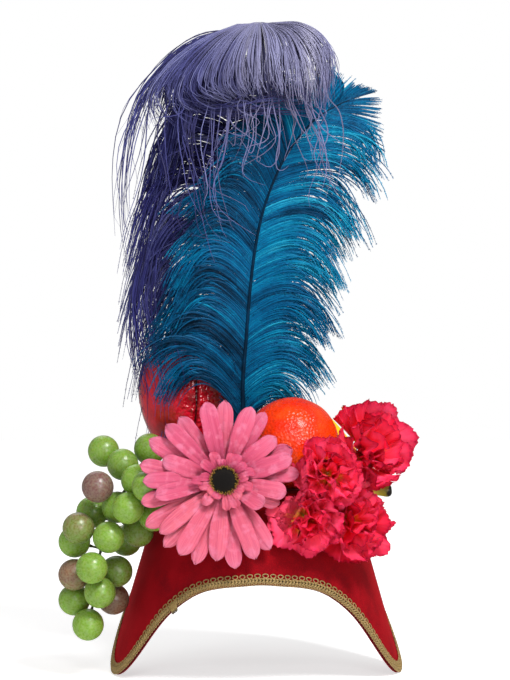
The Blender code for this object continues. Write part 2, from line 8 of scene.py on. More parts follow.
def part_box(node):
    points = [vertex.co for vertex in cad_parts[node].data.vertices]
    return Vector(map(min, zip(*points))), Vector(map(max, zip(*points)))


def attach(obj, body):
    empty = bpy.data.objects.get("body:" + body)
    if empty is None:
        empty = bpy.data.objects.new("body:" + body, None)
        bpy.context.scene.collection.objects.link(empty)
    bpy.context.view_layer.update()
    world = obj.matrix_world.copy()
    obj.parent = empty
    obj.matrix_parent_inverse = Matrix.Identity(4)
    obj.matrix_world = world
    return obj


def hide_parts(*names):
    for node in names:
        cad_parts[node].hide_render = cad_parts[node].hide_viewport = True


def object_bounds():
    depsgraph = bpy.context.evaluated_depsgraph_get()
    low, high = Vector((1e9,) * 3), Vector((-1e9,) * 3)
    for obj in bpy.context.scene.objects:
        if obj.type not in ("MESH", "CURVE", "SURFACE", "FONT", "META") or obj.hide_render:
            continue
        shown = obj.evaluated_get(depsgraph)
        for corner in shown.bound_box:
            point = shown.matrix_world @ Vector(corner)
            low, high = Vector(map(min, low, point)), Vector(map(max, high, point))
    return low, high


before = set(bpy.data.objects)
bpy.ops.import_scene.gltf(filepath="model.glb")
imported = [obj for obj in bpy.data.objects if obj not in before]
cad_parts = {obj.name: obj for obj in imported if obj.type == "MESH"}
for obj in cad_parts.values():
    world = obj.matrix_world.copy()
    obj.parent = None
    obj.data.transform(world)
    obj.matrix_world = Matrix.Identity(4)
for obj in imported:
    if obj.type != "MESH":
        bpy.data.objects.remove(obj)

cad_box = [list(corner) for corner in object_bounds()]


# The cap. A stiff felt cap in the form of an elliptical cone with a flat crown, covered in deep red
# velvet. The wall is 2.2 mm thick, cut to an arch over the face and to a flap at each side, and the
# velvet is turned under at the cut edge.
CAP_HALF_WIDTH = 0.0858
CAP_TAPER = 0.290
CAP_DEPTH_RATIO = 1.15
CAP_WALL = 0.0022
CAP_ROWS = 26
CAP_COLUMNS = 300
CAP_SWELL = 0.00012
CROWN_HEIGHT = 0.0684
CROWN_CORNER = 0.006
CROWN_TUCK = 0.001
FOLD_DROP = 0.3 * CAP_WALL
FLAP_ANGLE = 76.0
# Degrees from the middle of the face, and the height of the cut edge there.
CUT_EDGE = np.array((
    (0, 0.0106), (20, 0.0078), (30, 0.0040), (38, -0.0035), (43, -0.0095), (48, -0.0170),
    (52, -0.0255), (55, -0.0330), (60, -0.0450), (65, -0.0545), (70, -0.0600), (76, -0.0620),
))
VELVET_SHADE = "6c0812"
VELVET_FACE = "800712"
VELVET_LIGHT = "8a0a16"
VELVET_SHEEN = "f0101c"
VELVET_PILE = "b40a16"
FELT_RED = "48080f"


def light_of(code):
    """A colour as the eye reads it, such as 7d0e1c, as the light that it sends back."""
    parts = [int(code[at:at + 2], 16) / 255 for at in (0, 2, 4)]
    return (*(((part + 0.055) / 1.055) ** 2.4 if part > 0.04045 else part / 12.92 for part in parts), 1.0)


def unit(rows):
    """Rows of vectors, each brought to length one."""
    return rows / np.maximum(np.linalg.norm(rows, axis=-1, keepdims=True), 1e-12)


class Finish:
    """A surface finish: nodes that lead to one principled shader."""

    def __init__(self, name, roughness, **steady):
        self.material = bpy.data.materials.new(name)
        self.material.use_nodes = True
        self.tree = self.material.node_tree
        self.shader = self.tree.nodes["Principled BSDF"]
        self.shader.inputs["Roughness"].default_value = roughness
        for label, value in steady.items():
            self.shader.inputs[label.replace("_", " ")].default_value = value

    def feed(self, socket, value):
        """A plain value, or what another node gives, led into a socket."""
        if isinstance(value, bpy.types.NodeSocket):
            self.tree.links.new(value, socket)
        else:
            socket.default_value = value

    def add(self, kind, **fed):
        """A node of that kind, with what its inputs are fed."""
        node = self.tree.nodes.new("ShaderNode" + kind)
        for label, value in fed.items():
            self.feed(node.inputs[label.replace("_", " ")], value)
        return node

    def place(self, stretch=(1.0, 1.0, 1.0)):
        """The point on the piece in metres, stretched for a grain that runs one way."""
        source = self.add("TexCoord").outputs["Object"]
        return self.add("Mapping", Vector=source, Scale=stretch).outputs["Vector"]

    def trait(self, label):
        """A value that the mesh carries at its points."""
        node = self.add("Attribute")
        node.attribute_name = label
        return node.outputs["Fac"]

    def grain(self, size, detail=3.0, at=None):
        """Soft noise whose features are about that size in metres."""
        at = at or self.place()
        return self.add("TexNoise", Vector=at, Scale=1 / size, Detail=detail, Roughness=0.55).outputs["Fac"]

    def cells(self, size):
        """Distance from the middle of cells of about that size in metres."""
        return self.add("TexVoronoi", Vector=self.place(), Scale=1 / size).outputs["Distance"]

    def ramp(self, value, stops):
        """Colours in order along a value, from (where, colour code) rows."""
        node = self.add("ValToRGB", Fac=value)
        elements = node.color_ramp.elements
        while len(elements) < len(stops):
            elements.new(0.5)
        for element, (where, code) in zip(elements, stops):
            element.position = where
            element.color = light_of(code)
        return node.outputs["Color"]

    def blend(self, share, first, second):
        """A mix of two colours, by a share of the second."""
        node = self.add("Mix")
        node.data_type = "RGBA"
        self.feed(node.inputs[0], share)
        for socket, value in ((node.inputs[6], first), (node.inputs[7], second)):
            self.feed(socket, light_of(value) if isinstance(value, str) else value)
        return node.outputs[2]

    def sum(self, kind, first, second):
        """Two values added or multiplied."""
        node = self.add("Math")
        node.operation = kind
        self.feed(node.inputs[0], first)
        self.feed(node.inputs[1], second)
        return node.outputs[0]

    def spread(self, value, low, high, new_low=0.0, new_high=1.0):
        """A value's range from low to high, laid onto a new range and held there."""
        ends = {"From_Min": low, "From_Max": high, "To_Min": new_low, "To_Max": new_high}
        return self.add("MapRange", Value=value, **ends).outputs["Result"]

    def raised(self, height, depth, strength=1.0, under=None):
        """A relief of that depth in metres, laid over another one where it is given."""
        fed = {"Height": height, "Distance": depth, "Strength": strength}
        if under is not None:
            fed["Normal"] = under
        return self.add("Bump", **fed).outputs["Normal"]

    def done(self, colour, normal=None, roughness=None):
        """The finished material."""
        self.feed(self.shader.inputs["Base Color"], colour)
        if normal is not None:
            self.feed(self.shader.inputs["Normal"], normal)
        if roughness is not None:
            self.feed(self.shader.inputs["Roughness"], roughness)
        return self.material


def make_piece(name, points, faces, finish, slot, nodes, smooth=True, **traits):
    """A mesh piece in the hat's frame, riding on the one body, standing for the CAD nodes named."""
    mesh = bpy.data.meshes.new(name)
    mesh.from_pydata(np.asarray(points).reshape(-1, 3).tolist(), [], [tuple(face) for face in faces])
    if smooth:
        mesh.shade_smooth()
    for label, values in traits.items():
        layer = mesh.attributes.new(label, "FLOAT", "POINT")
        layer.data.foreach_set("value", np.asarray(values, np.float32).ravel())
    mesh.materials.append(finish)
    made = bpy.data.objects.new(name, mesh)
    bpy.context.scene.collection.objects.link(made)
    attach(made, "root")
    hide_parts(*nodes)
    return made


def net(rows, columns, closed):
    """Faces between neighbouring rows of points, whose last column joins the first where closed."""
    row = np.arange(rows - 1)[:, None]
    column = np.arange(columns if closed else columns - 1)[None, :]
    after = (column + 1) % columns
    corners = (row * columns + column, row * columns + after, (row + 1) * columns + after,
               (row + 1) * columns + column)
    return np.stack(corners, axis=-1).reshape(-1, 4).tolist()


def end_faces(count, columns):
    """The two faces that close a run of rings with that many points in all, first ring and last."""
    return [list(range(columns))[::-1], list(range(count - columns, count))]


def length_to(points):
    """Length along a row of points, from the first one to each."""
    return np.concatenate(([0.0], np.cumsum(np.linalg.norm(np.diff(points, axis=0), axis=1))))


def edge_height(angle):
    """Height of the cut edge at angles in degrees from the middle of the face."""
    total = 0.0
    for step in (-4.0, -2.0, 0.0, 2.0, 4.0):
        turned = np.abs((angle + step + 180.0) % 360.0 - 180.0)
        turned = np.where(turned > FLAP_ANGLE, np.maximum(2 * FLAP_ANGLE - turned, 0.0), turned)
        total = total + np.interp(turned, CUT_EDGE[:, 0], CUT_EDGE[:, 1])
    return total / 5


def cap_face(angle, height, out=0.0):
    """Points at a distance out of the cap's outer face, and the face's normals there."""
    turn = np.radians(angle)
    half = CAP_HALF_WIDTH - CAP_TAPER * height
    deep = half * CAP_DEPTH_RATIO
    normal = unit(np.stack((np.sin(turn) / half, -np.cos(turn) / deep, CAP_TAPER / half + 0 * turn),
                           axis=-1))
    place = np.stack((half * np.sin(turn), -deep * np.cos(turn), height + 0 * turn), axis=-1)
    return place + normal * np.asarray(out)[..., None], normal


def even_edge_angles(count):
    """Angles that divide the cut edge into equal lengths, and the whole length."""
    fine = np.linspace(0.0, 360.0, 2881)
    run = length_to(cap_face(fine, edge_height(fine))[0])
    return np.interp(np.arange(count) / count * run[-1], run, fine), run[-1]


def cap_rings():
    """Rings from the crown's middle down the inside, round the fold at the cut edge and up the outside."""
    angle, _ = even_edge_angles(CAP_COLUMNS)
    turn = np.radians(angle)
    low = edge_height(angle)
    shoulder = CROWN_HEIGHT - CROWN_CORNER
    outside = []
    inside = []
    for share in np.linspace(0.0, 1.0, CAP_ROWS) ** 1.15:
        height = low + (shoulder - low) * share
        swell = CAP_SWELL * np.sin(turn * 7 + share * 5) * math.sin(math.pi * share)
        outside.append(cap_face(angle, height, swell)[0])
        inside.append(cap_face(angle, height, -CAP_WALL)[0])
    for bend in np.radians((15, 30, 45, 60, 75, 90)):
        for rings, drop in ((outside, 0.0), (inside, CAP_WALL)):
            radius = CROWN_CORNER - drop
            half = (CAP_HALF_WIDTH - CAP_TAPER * shoulder - drop - radius * (1 - math.cos(bend))
                    - CROWN_TUCK * math.sin(bend))
            height = shoulder + radius * math.sin(bend)
            rings.append(np.stack((half * np.sin(turn), -half * CAP_DEPTH_RATIO * np.cos(turn),
                                   height + 0 * turn), axis=-1))
    fold = []
    for bend in np.radians((150, 120, 90, 60, 30)):
        place, _ = cap_face(angle, low, (math.cos(math.pi - bend) - 1) / 2 * CAP_WALL)
        fold.append(place - np.array((0, 0, math.sin(bend) * FOLD_DROP)))
    for rings in (outside, inside):
        rim = rings[-1]
        middle = rim.mean(axis=0)
        rings += [middle + (rim - middle) * share for share in (0.8, 0.6, 0.4, 0.2, 0.02)]
    return inside[::-1] + fold + outside


rings = cap_rings()
cap_points = np.concatenate(rings)
cap_faces = net(len(rings), CAP_COLUMNS, True) + end_faces(len(cap_points), CAP_COLUMNS)
lining = np.repeat(np.arange(len(rings)) <= len(rings) // 2, CAP_COLUMNS)

velvet = Finish("crushed_velvet", 0.92, Sheen_Weight=0.28, Sheen_Roughness=0.42,
                Sheen_Tint=light_of(VELVET_SHEEN), Specular_IOR_Level=0.06)
crushed = velvet.spread(velvet.grain(0.018, 4.0), 0.3, 0.72)
pile = velvet.grain(0.0006, 2.0)
colour = velvet.ramp(crushed, ((0.0, VELVET_SHADE), (0.5, VELVET_FACE), (1.0, VELVET_LIGHT)))
colour = velvet.blend(velvet.spread(pile, 0.45, 0.75, 0.0, 0.45), colour, VELVET_PILE)
colour = velvet.blend(velvet.trait("lining"), colour, FELT_RED)
make_piece("velvet_cap", cap_points, cap_faces,
           velvet.done(colour, velvet.raised(pile, 0.00025, 0.6, velvet.raised(crushed, 0.0005, 0.35))),
           "velvet_red", ("cap",), lining=lining)


# The braid. Old gold gimp glued flat along the whole cut edge: two plaited rows of soft cord laid in a
# herringbone over a narrow tape, a row of round scroll loops above them and small loops below. It
# starts and ends in a lap at the left of the face.
TRIM_INSET = -0.0003
GLUE = 0.00012
LOOP_PITCH = 0.0051
STITCH_PITCH = 0.0023
LOOP_RADIUS = 0.00040
STITCH_RADIUS = 0.00070
LAP_RADIUS = 0.00050
LAP_ANGLE = 42.0
LAP_CORDS = 7
LAP_PITCH = 0.00078
EDGE_STEPS = 720
# Height above the cut edge and distance out of the cap, round the tape's section.
TAPE_SECTION = ((0.0011, -0.0001), (0.0011, 0.0002), (0.0043, 0.0002), (0.0043, -0.0001), (0.0011, -0.0001))


def braid_places(along, up, out):
    """Points on the cap at a length along the cut edge, a height above it and a distance out of it."""
    fine = np.linspace(-30.0, 390.0, 3361)
    run = length_to(cap_face(fine, edge_height(fine))[0])
    angle = np.interp(along, run - np.interp(0.0, fine, run), fine)
    start, normal = cap_face(angle, edge_height(angle))
    before, after = (cap_face(near, edge_height(near))[0] for near in (angle - 0.5, angle + 0.5))
    upward = unit(np.cross(normal, after - before))
    flat = start + upward * (TRIM_INSET + np.asarray(up))[..., None]
    half = CAP_HALF_WIDTH - CAP_TAPER * flat[..., 2]
    turned = np.degrees(np.arctan2(flat[..., 0] / half, -flat[..., 1] / (half * CAP_DEPTH_RATIO)))
    return cap_face(turned, flat[..., 2], GLUE + np.asarray(out))


def tube(path, side, radius, sides, closed=False):
    """A round cord along rows of points, with a direction beside it for each, and its faces."""
    ahead = np.roll(path, -1, axis=0) - np.roll(path, 1, axis=0)
    if not closed:
        ahead[0] = path[1] - path[0]
        ahead[-1] = path[-1] - path[-2]
    ahead = unit(ahead)
    side = unit(side - ahead * np.sum(side * ahead, axis=1, keepdims=True))
    third = np.cross(ahead, side)
    turn = np.arange(sides) / sides * 2 * math.pi
    ring = side[:, None] * np.cos(turn)[None, :, None] + third[:, None] * np.sin(turn)[None, :, None]
    points = path[:, None] + ring * np.broadcast_to(radius, len(path))[:, None, None]
    faces = net(len(path), sides, True)
    if closed:
        last = (len(path) - 1) * sides
        for index in range(sides):
            after = (index + 1) % sides
            faces.append((last + index, last + after, after, index))
    else:
        faces += end_faces(len(path) * sides, sides)
    return points.reshape(-1, 3), faces


def gather(parts):
    """Several (points, faces) joined into one."""
    points = []
    faces = []
    count = 0
    for some, those in parts:
        points.append(some)
        faces.extend(tuple(corner + count for corner in face) for face in those)
        count += len(some)
    return np.concatenate(points), faces


def scroll(length, count, low, high, loop, radius):
    """A cord that runs along the edge in round loops, raised a little at their feet."""
    turn = np.arange(count * 16) / 16 * 2 * math.pi
    along = turn / (2 * math.pi) * length / count + loop * np.sin(turn)
    up = low + (high - low) * (1 - np.cos(turn)) / 2
    out = 0.00042 + 0.00030 * np.cos(turn / 2) ** 2
    place, normal = braid_places(along % length, up, out)
    return tube(place, normal, radius, 6, closed=True)


def herringbone(length, count, low, high):
    """A row of short soft cords laid at a slant, each over the one before."""
    share = np.linspace(0.0, 1.0, 6)
    parts = []
    thick = STITCH_RADIUS * np.array((0.4, 0.85, 1.0, 1.0, 0.85, 0.4))
    out = 0.00045 + 0.00055 * np.sin(math.pi * share)
    for index in range(count):
        place, normal = braid_places((index + share) * length / count, low + (high - low) * share, out)
        parts.append(tube(place, normal, thick, 6))
    return gather(parts)


edge_angles, edge_length = even_edge_angles(EDGE_STEPS)
loops = round(edge_length / LOOP_PITCH)
stitches = round(edge_length / STITCH_PITCH)
tape_along = np.linspace(0.0, edge_length, EDGE_STEPS + 1)[:-1]
tape = np.stack([braid_places(tape_along, up, out)[0] for up, out in TAPE_SECTION], axis=1).reshape(-1, 3)
tape_faces = net(EDGE_STEPS, len(TAPE_SECTION), False)
last = (EDGE_STEPS - 1) * len(TAPE_SECTION)
tape_faces += [(last + column, last + column + 1, column + 1, column) for column in range(4)]
braid_parts = [
    (tape, tape_faces),
    herringbone(edge_length, stitches, 0.0012, 0.0028),
    herringbone(edge_length, stitches, 0.0043, 0.0028),
    scroll(edge_length, loops, 0.0040, 0.0073, 0.00300, LOOP_RADIUS),
    scroll(edge_length, loops * 2, 0.0014, -0.0004, 0.00140, LOOP_RADIUS * 0.85),
]
lap_stitch = round(stitches * (1 - np.searchsorted(edge_angles, LAP_ANGLE) / EDGE_STEPS))
lap_middle = lap_stitch * edge_length / stitches
lap_thick = LAP_RADIUS * np.array((0.5, 1.0, 1.0, 1.0, 1.0, 1.0, 0.6))
for step in range(LAP_CORDS):
    ends = lap_middle + (step - 3) * LAP_PITCH + np.linspace(0.0003, -0.0003, 7)
    up = np.linspace(0.0042, -0.0040 - 0.0006 * (step % 2), 7)
    place, normal = braid_places(ends, up, np.linspace(0.0012, 0.0014, 7))
    braid_parts.append(tube(place, normal, lap_thick, 6))
braid_points, braid_faces = gather(braid_parts)
# The tape under the cords is painted dark brown as the shade in the gaps between them, and the lower end of
# the lap is painted dark as its shade.
lap_end_shade = np.tile(np.repeat((0.0, 0.0, 0.0, 0.0, 0.0, 0.5, 1.0), 6), LAP_CORDS)
cords = np.zeros(len(braid_points) - len(tape) - len(lap_end_shade))
in_gap = np.concatenate((np.ones(len(tape)), cords, lap_end_shade))
gold = Finish("old_gold_gimp", 0.45, Specular_IOR_Level=0.6)
twist = gold.grain(0.00035, 2.0)
colour = gold.ramp(twist, ((0.25, "4e3a18"), (0.5, "95783f"), (0.75, "cdb57c")))
colour = gold.blend(gold.spread(gold.grain(0.009), 0.4, 0.7, 0.0, 0.35), colour, "7e6636")
# Painted shade in the gaps between the cords and at the lap's lower end.
colour = gold.blend(gold.trait("in_gap"), colour, "2c2010")
make_piece("gimp_braid", braid_points, braid_faces, gold.done(colour, gold.raised(twist, 0.0002, 0.7)),
           "gold_braid", ("trim",), in_gap=in_gap)


# The grapes. Hollow moulded beads with a soft waxy bloom on the skin, most of them green and some
# blushed to brown or purple, each pushed onto a twig of the stem, with a small dimple at that end.
GRAPE_COUNT = 22
GRAPE_RADIUS = 0.0110
GRAPE_HALF_LENGTH = 0.01118
GRAPE_DIMPLE = 0.0009
STEM_PATH = np.array((
    (-0.0500, -0.0240, CROWN_HEIGHT + 0.0009), (-0.0520, -0.0250, 0.0790), (-0.0680, -0.0270, 0.0820),
    (-0.0900, -0.0290, 0.0700), (-0.1030, -0.0290, 0.0460), (-0.1110, -0.0290, 0.0180),
    (-0.1140, -0.0340, -0.0080),
))
# Blush by the grape's number, from 0 for green to 1 for purple brown. The others are nearly green.
RIPENESS = {3: 0.95, 15: 0.55, 19: 0.60, 9: 0.32, 11: 0.22, 16: 0.20, 8: 0.10, 2: 0.12}


def nearest_on_stem(place):
    """The stem's point that lies nearest to a place."""
    best = None
    for a, b in zip(STEM_PATH, STEM_PATH[1:]):
        share = np.clip((place - a) @ (b - a) / ((b - a) @ (b - a)), 0.0, 1.0)
        found = a + (b - a) * share
        if best is None or np.linalg.norm(place - found) < np.linalg.norm(place - best):
            best = found
    return best


def pole_faces(rows, columns):
    """Faces of closed rings with a pole at each end, the two poles numbered after the rings."""
    count = rows * columns
    faces = [tuple(reversed(face)) for face in net(rows, columns, True)]
    for index in range(columns):
        after = (index + 1) % columns
        faces.append((count, index, after))
        faces.append((count + 1, count - columns + after, count - columns + index))
    return faces


def ball(columns, rows):
    """A ball's points as directions, row by row from one pole to the other, and its faces."""
    down = np.linspace(0.0, math.pi, rows + 1)[1:-1]
    turn = np.arange(columns) / columns * 2 * math.pi
    ring = np.stack((np.sin(down)[:, None] * np.cos(turn), np.sin(down)[:, None] * np.sin(turn),
                     np.cos(down)[:, None] + 0 * turn), axis=-1).reshape(-1, 3)
    return np.concatenate((ring, ((0, 0, 1), (0, 0, -1)))), pole_faces(rows - 1, columns)


grape_skin = Finish("waxy_grape_skin", 0.36, Subsurface_Weight=0.22, Subsurface_Scale=0.004,
                    Specular_IOR_Level=0.45, Coat_Weight=0.12, Coat_Roughness=0.35)
mottle = grape_skin.grain(0.0045, 4.0)
ripe = grape_skin.sum("ADD", grape_skin.trait("ripe"), grape_skin.spread(mottle, 0.3, 0.7, -0.10, 0.10))
colour = grape_skin.ramp(ripe, ((0.0, "7ca234"), (0.16, "6e8e30"), (0.30, "707a34"), (0.55, "80604a"),
                                (0.95, "74504c")))
waxy = grape_skin.spread(grape_skin.grain(0.0016, 3.0), 0.42, 0.72)
colour = grape_skin.blend(grape_skin.sum("MULTIPLY", waxy, 0.20), colour, "b4c69c")
grape_finish = grape_skin.done(colour, grape_skin.raised(mottle, 0.0004, 0.25),
                               grape_skin.spread(waxy, 0.0, 1.0, 0.26, 0.46))
grape_centres = []
for number in range(1, GRAPE_COUNT + 1):
    low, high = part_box(f"grape_{number}")
    centre = np.array((low + high) / 2)
    grape_centres.append(centre)
    points, faces = ball(28, 18)
    pole = points[:, 2]
    radius = GRAPE_HALF_LENGTH * (0.985 + 0.015 * pole ** 2) - GRAPE_DIMPLE * np.exp(-((1 - pole) / 0.018))
    toward = Vector(nearest_on_stem(centre) - centre).to_track_quat("Z", "Y").to_matrix()
    points = (points * radius[:, None]) @ np.array(toward).T + centre
    shade = RIPENESS.get(number, 0.03 * (number * 7 % 4))
    upper = np.clip((points[:, 2] - centre[2]) / GRAPE_RADIUS, -1, 1)
    blush = shade + 0.10 * upper * (number % 3 == 0)
    make_piece(f"grape_{number}_skin", points, faces, grape_finish, "grape_green", (f"grape_{number}",),
               ripe=blush)


# The grape stem. A moulded green-brown stalk that starts at the crown and hangs over the cap's side,
# with a thin twig to each grape that it reaches.
STEM_RADIUS = 0.0016
TWIG_RADIUS = 0.0008
TWIG_CLEARANCE = 0.0120


def eased(rows, steps):
    """A smooth run of points through a few given ones."""
    rows = np.asarray(rows, float)
    padded = np.concatenate(([2 * rows[0] - rows[1]], rows, [2 * rows[-1] - rows[-2]]))
    found = []
    for a, b, c, d in zip(padded, padded[1:], padded[2:], padded[3:]):
        for t in np.arange(steps) / steps:
            found.append(0.5 * (2 * b + (c - a) * t + (2 * a - 5 * b + 4 * c - d) * t ** 2
                                + (3 * b - a - 3 * c + d) * t ** 3))
    found.append(rows[-1])
    return np.array(found)


def beside(path):
    """A direction beside each point of a run, none of them along it."""
    ahead = unit(np.gradient(path, axis=0))
    guess = np.where(np.abs(ahead[:, :1]) > 0.8, np.array((0.0, 1.0, 0.0)), np.array((1.0, 0.0, 0.0)))
    return unit(np.cross(ahead, guess))


stalk = eased(STEM_PATH, 8)
girth = STEM_RADIUS * np.linspace(1.05, 0.55, len(stalk)) * (1 + 0.12 * np.sin(np.arange(len(stalk)) * 1.9))
stem_parts = [tube(stalk, beside(stalk), girth, 10)]
for number, centre in enumerate(grape_centres):
    root = nearest_on_stem(centre)
    gap = np.linalg.norm(centre - root) - GRAPE_RADIUS
    toward = unit(centre - root)
    clear = True
    for other, there in enumerate(grape_centres):
        share = np.clip((there - root) @ toward, 0.0, gap)
        if other != number and np.linalg.norm(root + toward * share - there) < TWIG_CLEARANCE:
            clear = False
    if clear and gap > 0.001:
        twig = np.linspace(root, root + toward * gap, 5)
        stem_parts.append(tube(twig, beside(twig), TWIG_RADIUS * np.array((1.5, 1.0, 0.9, 1.0, 1.6)), 8))
stem_points, stem_faces = gather(stem_parts)
bark = Finish("moulded_stalk", 0.6)
streaks = bark.grain(0.0015, 4.0)
make_piece("grape_stalk", stem_points, stem_faces,
           bark.done(bark.ramp(streaks, ((0.3, "25300f"), (0.6, "4a5420"), (0.8, "6b6a35"))),
                     bark.raised(streaks, 0.0004, 0.5)), "stem_brown", ("grape_stem",))


# The orange. A moulded foam fruit with a dimpled, slightly lumpy peel that takes a soft gloss, glued to
# the front of the crown.
PORE = 0.0021
# Size on a ball of radius one, height in metres and seed.
PEEL_LUMPS = ((0.55, 0.00055, 1), (0.075, 0.00016, 2))


def lumpy(places, size, seed):
    """Smooth noise at places, about from -1 to 1, with lumps of about that size."""
    shift = Vector((seed * 3.7, seed * 1.3, seed * 7.1))
    return np.array([noise.noise(Vector(place) / size + shift) for place in places])


low, high = (np.array(corner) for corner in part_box("orange"))
orange_centre = (low + high) / 2
orange_radius = (high[2] - low[2]) / 2
points, faces = ball(96, 60)
lumps = sum(lumpy(points, size, seed) * tall for size, tall, seed in PEEL_LUMPS)
points = orange_centre + points * (orange_radius - 0.0001 + lumps)[:, None] * np.array((1.0, 1.0, 0.985))
peel = Finish("dimpled_peel", 0.3, Specular_IOR_Level=0.3, Coat_Weight=0.15, Coat_Roughness=0.14)
pores = peel.cells(PORE)
tone = peel.spread(peel.grain(0.016, 4.0), 0.35, 0.7)
colour = peel.ramp(tone, ((0.0, "e02600"), (0.5, "ee3a00"), (1.0, "f44c04")))
colour = peel.blend(peel.spread(pores, 0.0, 0.35, 0.35, 0.0), colour, "d02c00")
make_piece("orange_fruit", points, faces,
           peel.done(colour, peel.raised(pores, 0.0008, 0.8, peel.raised(peel.grain(0.005), 0.0006, 0.4)),
                     peel.spread(peel.grain(0.003), 0.3, 0.7, 0.22, 0.4)), "orange_peel", ("orange",))


# The red apple. A moulded fruit with a lacquered skin, a seam pressed in from the top where two halves
# meet, and fine puckers in the lacquer beside it. It stands on a plain wooden pick.
APPLE_COLUMNS = 160
# Shares of the apple's half width and of its height, from the stalk's dip to the foot.
APPLE_OUTLINE = np.array((
    (0.0, 0.88), (0.10, 0.905), (0.24, 0.965), (0.38, 0.995), (0.52, 1.0), (0.67, 0.975), (0.80, 0.92),
    (0.90, 0.845), (0.965, 0.75), (1.0, 0.62), (0.995, 0.52), (0.94, 0.39), (0.86, 0.28), (0.76, 0.18),
    (0.65, 0.10), (0.52, 0.04), (0.38, 0.008), (0.25, 0.0), (0.12, 0.01), (0.0, 0.03),
))
SEAM_TURN = math.radians(-76.0)
SEAM_WIDTH = 0.0013
SEAM_DEPTH = 0.0022
LIP_OFFSET = 0.0030
LIP_WIDTH = 0.0016
LIP_HEIGHT = 0.0006
# How far round, in radians where the apple is widest, the painted shade down the seam reaches.
SEAM_SHADE_TURN = 0.0008 / 0.033
PUCKER_SIZE = 0.0042
PUCKER_HEIGHT = 0.00056
PUCKER_TURN = 0.60
low, high = (np.array(corner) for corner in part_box("red_apple"))
apple_middle = (low + high) / 2
half_width = (high[0] - low[0]) / 2
profile = eased(APPLE_OUTLINE, 3)
profile[:, 0] = np.clip(profile[:, 0], 0.0, 1.0)
levels = low[2] + profile[:, 1] * (high[2] - low[2])
spaced = np.linspace(-1.0, 1.0, APPLE_COLUMNS + 1)[:-1]
off_seam = math.pi * np.sign(spaced) * np.abs(spaced) ** 1.6
turn = SEAM_TURN + off_seam
across = profile[1:-1, 0][:, None]
radius = across * half_width * (1 + 0.010 * np.cos(5 * turn + 0.4))
seam = np.exp(-(off_seam * radius / SEAM_WIDTH) ** 2) * np.clip(across * 3, 0, 1)
lips = np.exp(-((np.abs(off_seam) * radius - LIP_OFFSET) / LIP_WIDTH) ** 2)
radius = radius - SEAM_DEPTH * seam + LIP_HEIGHT * lips
ring = np.stack((apple_middle[0] + radius * np.cos(turn), apple_middle[1] + radius * np.sin(turn),
                 levels[1:-1, None] + 0 * turn), axis=-1)
points = ring.reshape(-1, 3)
beside_seam = np.clip(1.25 - np.abs(off_seam) / 0.9, 0.2, 1)
pucker = lumpy(points, PUCKER_SIZE, 4) * PUCKER_HEIGHT * np.tile(beside_seam, len(ring))
points = points + unit(points - apple_middle) * pucker[:, None]
poles = [(*apple_middle[:2], levels[end]) for end in (0, -1)]
points = np.concatenate((points, poles))
faces = pole_faces(len(ring), APPLE_COLUMNS)
lacquer = Finish("red_lacquer", 0.12, Specular_IOR_Level=0.5, Coat_Weight=0.5, Coat_Roughness=0.08)
freckle = lacquer.grain(0.0022, 4.0)
tone = lacquer.spread(lacquer.grain(0.02, 4.0), 0.35, 0.65)
colour = lacquer.ramp(tone, ((0.0, "960a1a"), (0.5, "be0c20"), (1.0, "d8122c")))
colour = lacquer.blend(lacquer.spread(freckle, 0.55, 0.8, 0.0, 0.5), colour, "6c0818")
# The seam's groove is painted near black as painted shade.
colour = lacquer.blend(lacquer.trait("in_seam"), colour, "2a0408")
in_seam = np.exp(-(off_seam * across / SEAM_SHADE_TURN) ** 2) * np.clip(across * 3, 0, 1)
by_seam = np.exp(-(off_seam * across / PUCKER_TURN) ** 2)
puckers = lacquer.sum("MULTIPLY", lacquer.grain(0.0040, 1.5), lacquer.trait("by_seam"))
wrinkles = lacquer.raised(puckers, 0.0030)
lacquer.feed(lacquer.shader.inputs["Coat Normal"], wrinkles)
make_piece("apple_fruit", points, faces, lacquer.done(colour, wrinkles), "apple_red", ("red_apple",),
           in_seam=np.append(in_seam, (0.0, 0.0)), by_seam=np.append(by_seam, (0.0, 0.0)))
wood = Finish("bare_wood", 0.65)
wood_grain = wood.grain(0.004, 5.0, wood.place((6.0, 6.0, 0.6)))
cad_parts["apple_pick"].data.materials[0] = wood.done(
    wood.ramp(wood_grain, ((0.3, "8d6a40"), (0.7, "c8a674"))), wood.raised(wood_grain, 0.0002, 0.4))


# The banana. A small curved foam fruit with five flattened sides, bright yellow with an olive end and a
# dark dried tip, laid from the top of the fruit down behind the orange.
BANANA_RADIUS = 0.0130
BANANA_COLUMNS = 40
# Points along the fruit's middle, and its radius there as a share of the widest.
BANANA_RUN = np.array((
    (0.0100, 0.0040, 0.1235, 0.34), (0.0170, 0.0035, 0.1225, 0.62), (0.0270, 0.0020, 0.1190, 0.88),
    (0.0400, 0.0000, 0.1105, 1.00), (0.0530, -0.0040, 0.0970, 1.00), (0.0640, -0.0090, 0.0830, 0.92),
    (0.0730, -0.0130, 0.0730, 0.72), (0.0810, -0.0150, 0.0680, 0.50), (0.0870, -0.0160, 0.0660, 0.34),
    (0.0930, -0.0165, 0.0652, 0.34), (0.0952, -0.0165, 0.0650, 0.24), (0.0958, -0.0165, 0.0650, 0.06),
))
run = eased(BANANA_RUN, 8)
path = run[:, :3]
side = beside(path)
ahead = unit(np.gradient(path, axis=0))
third = np.cross(ahead, side)
turn = np.arange(BANANA_COLUMNS) / BANANA_COLUMNS * 2 * math.pi
sided = 0.965 + 0.035 * np.cos(2.5 * turn) ** 2
ring = side[:, None] * np.cos(turn)[None, :, None] + third[:, None] * np.sin(turn)[None, :, None]
girth = (run[:, 3] * BANANA_RADIUS)[:, None] * sided
points = (path[:, None] + ring * girth[..., None]).reshape(-1, 3)
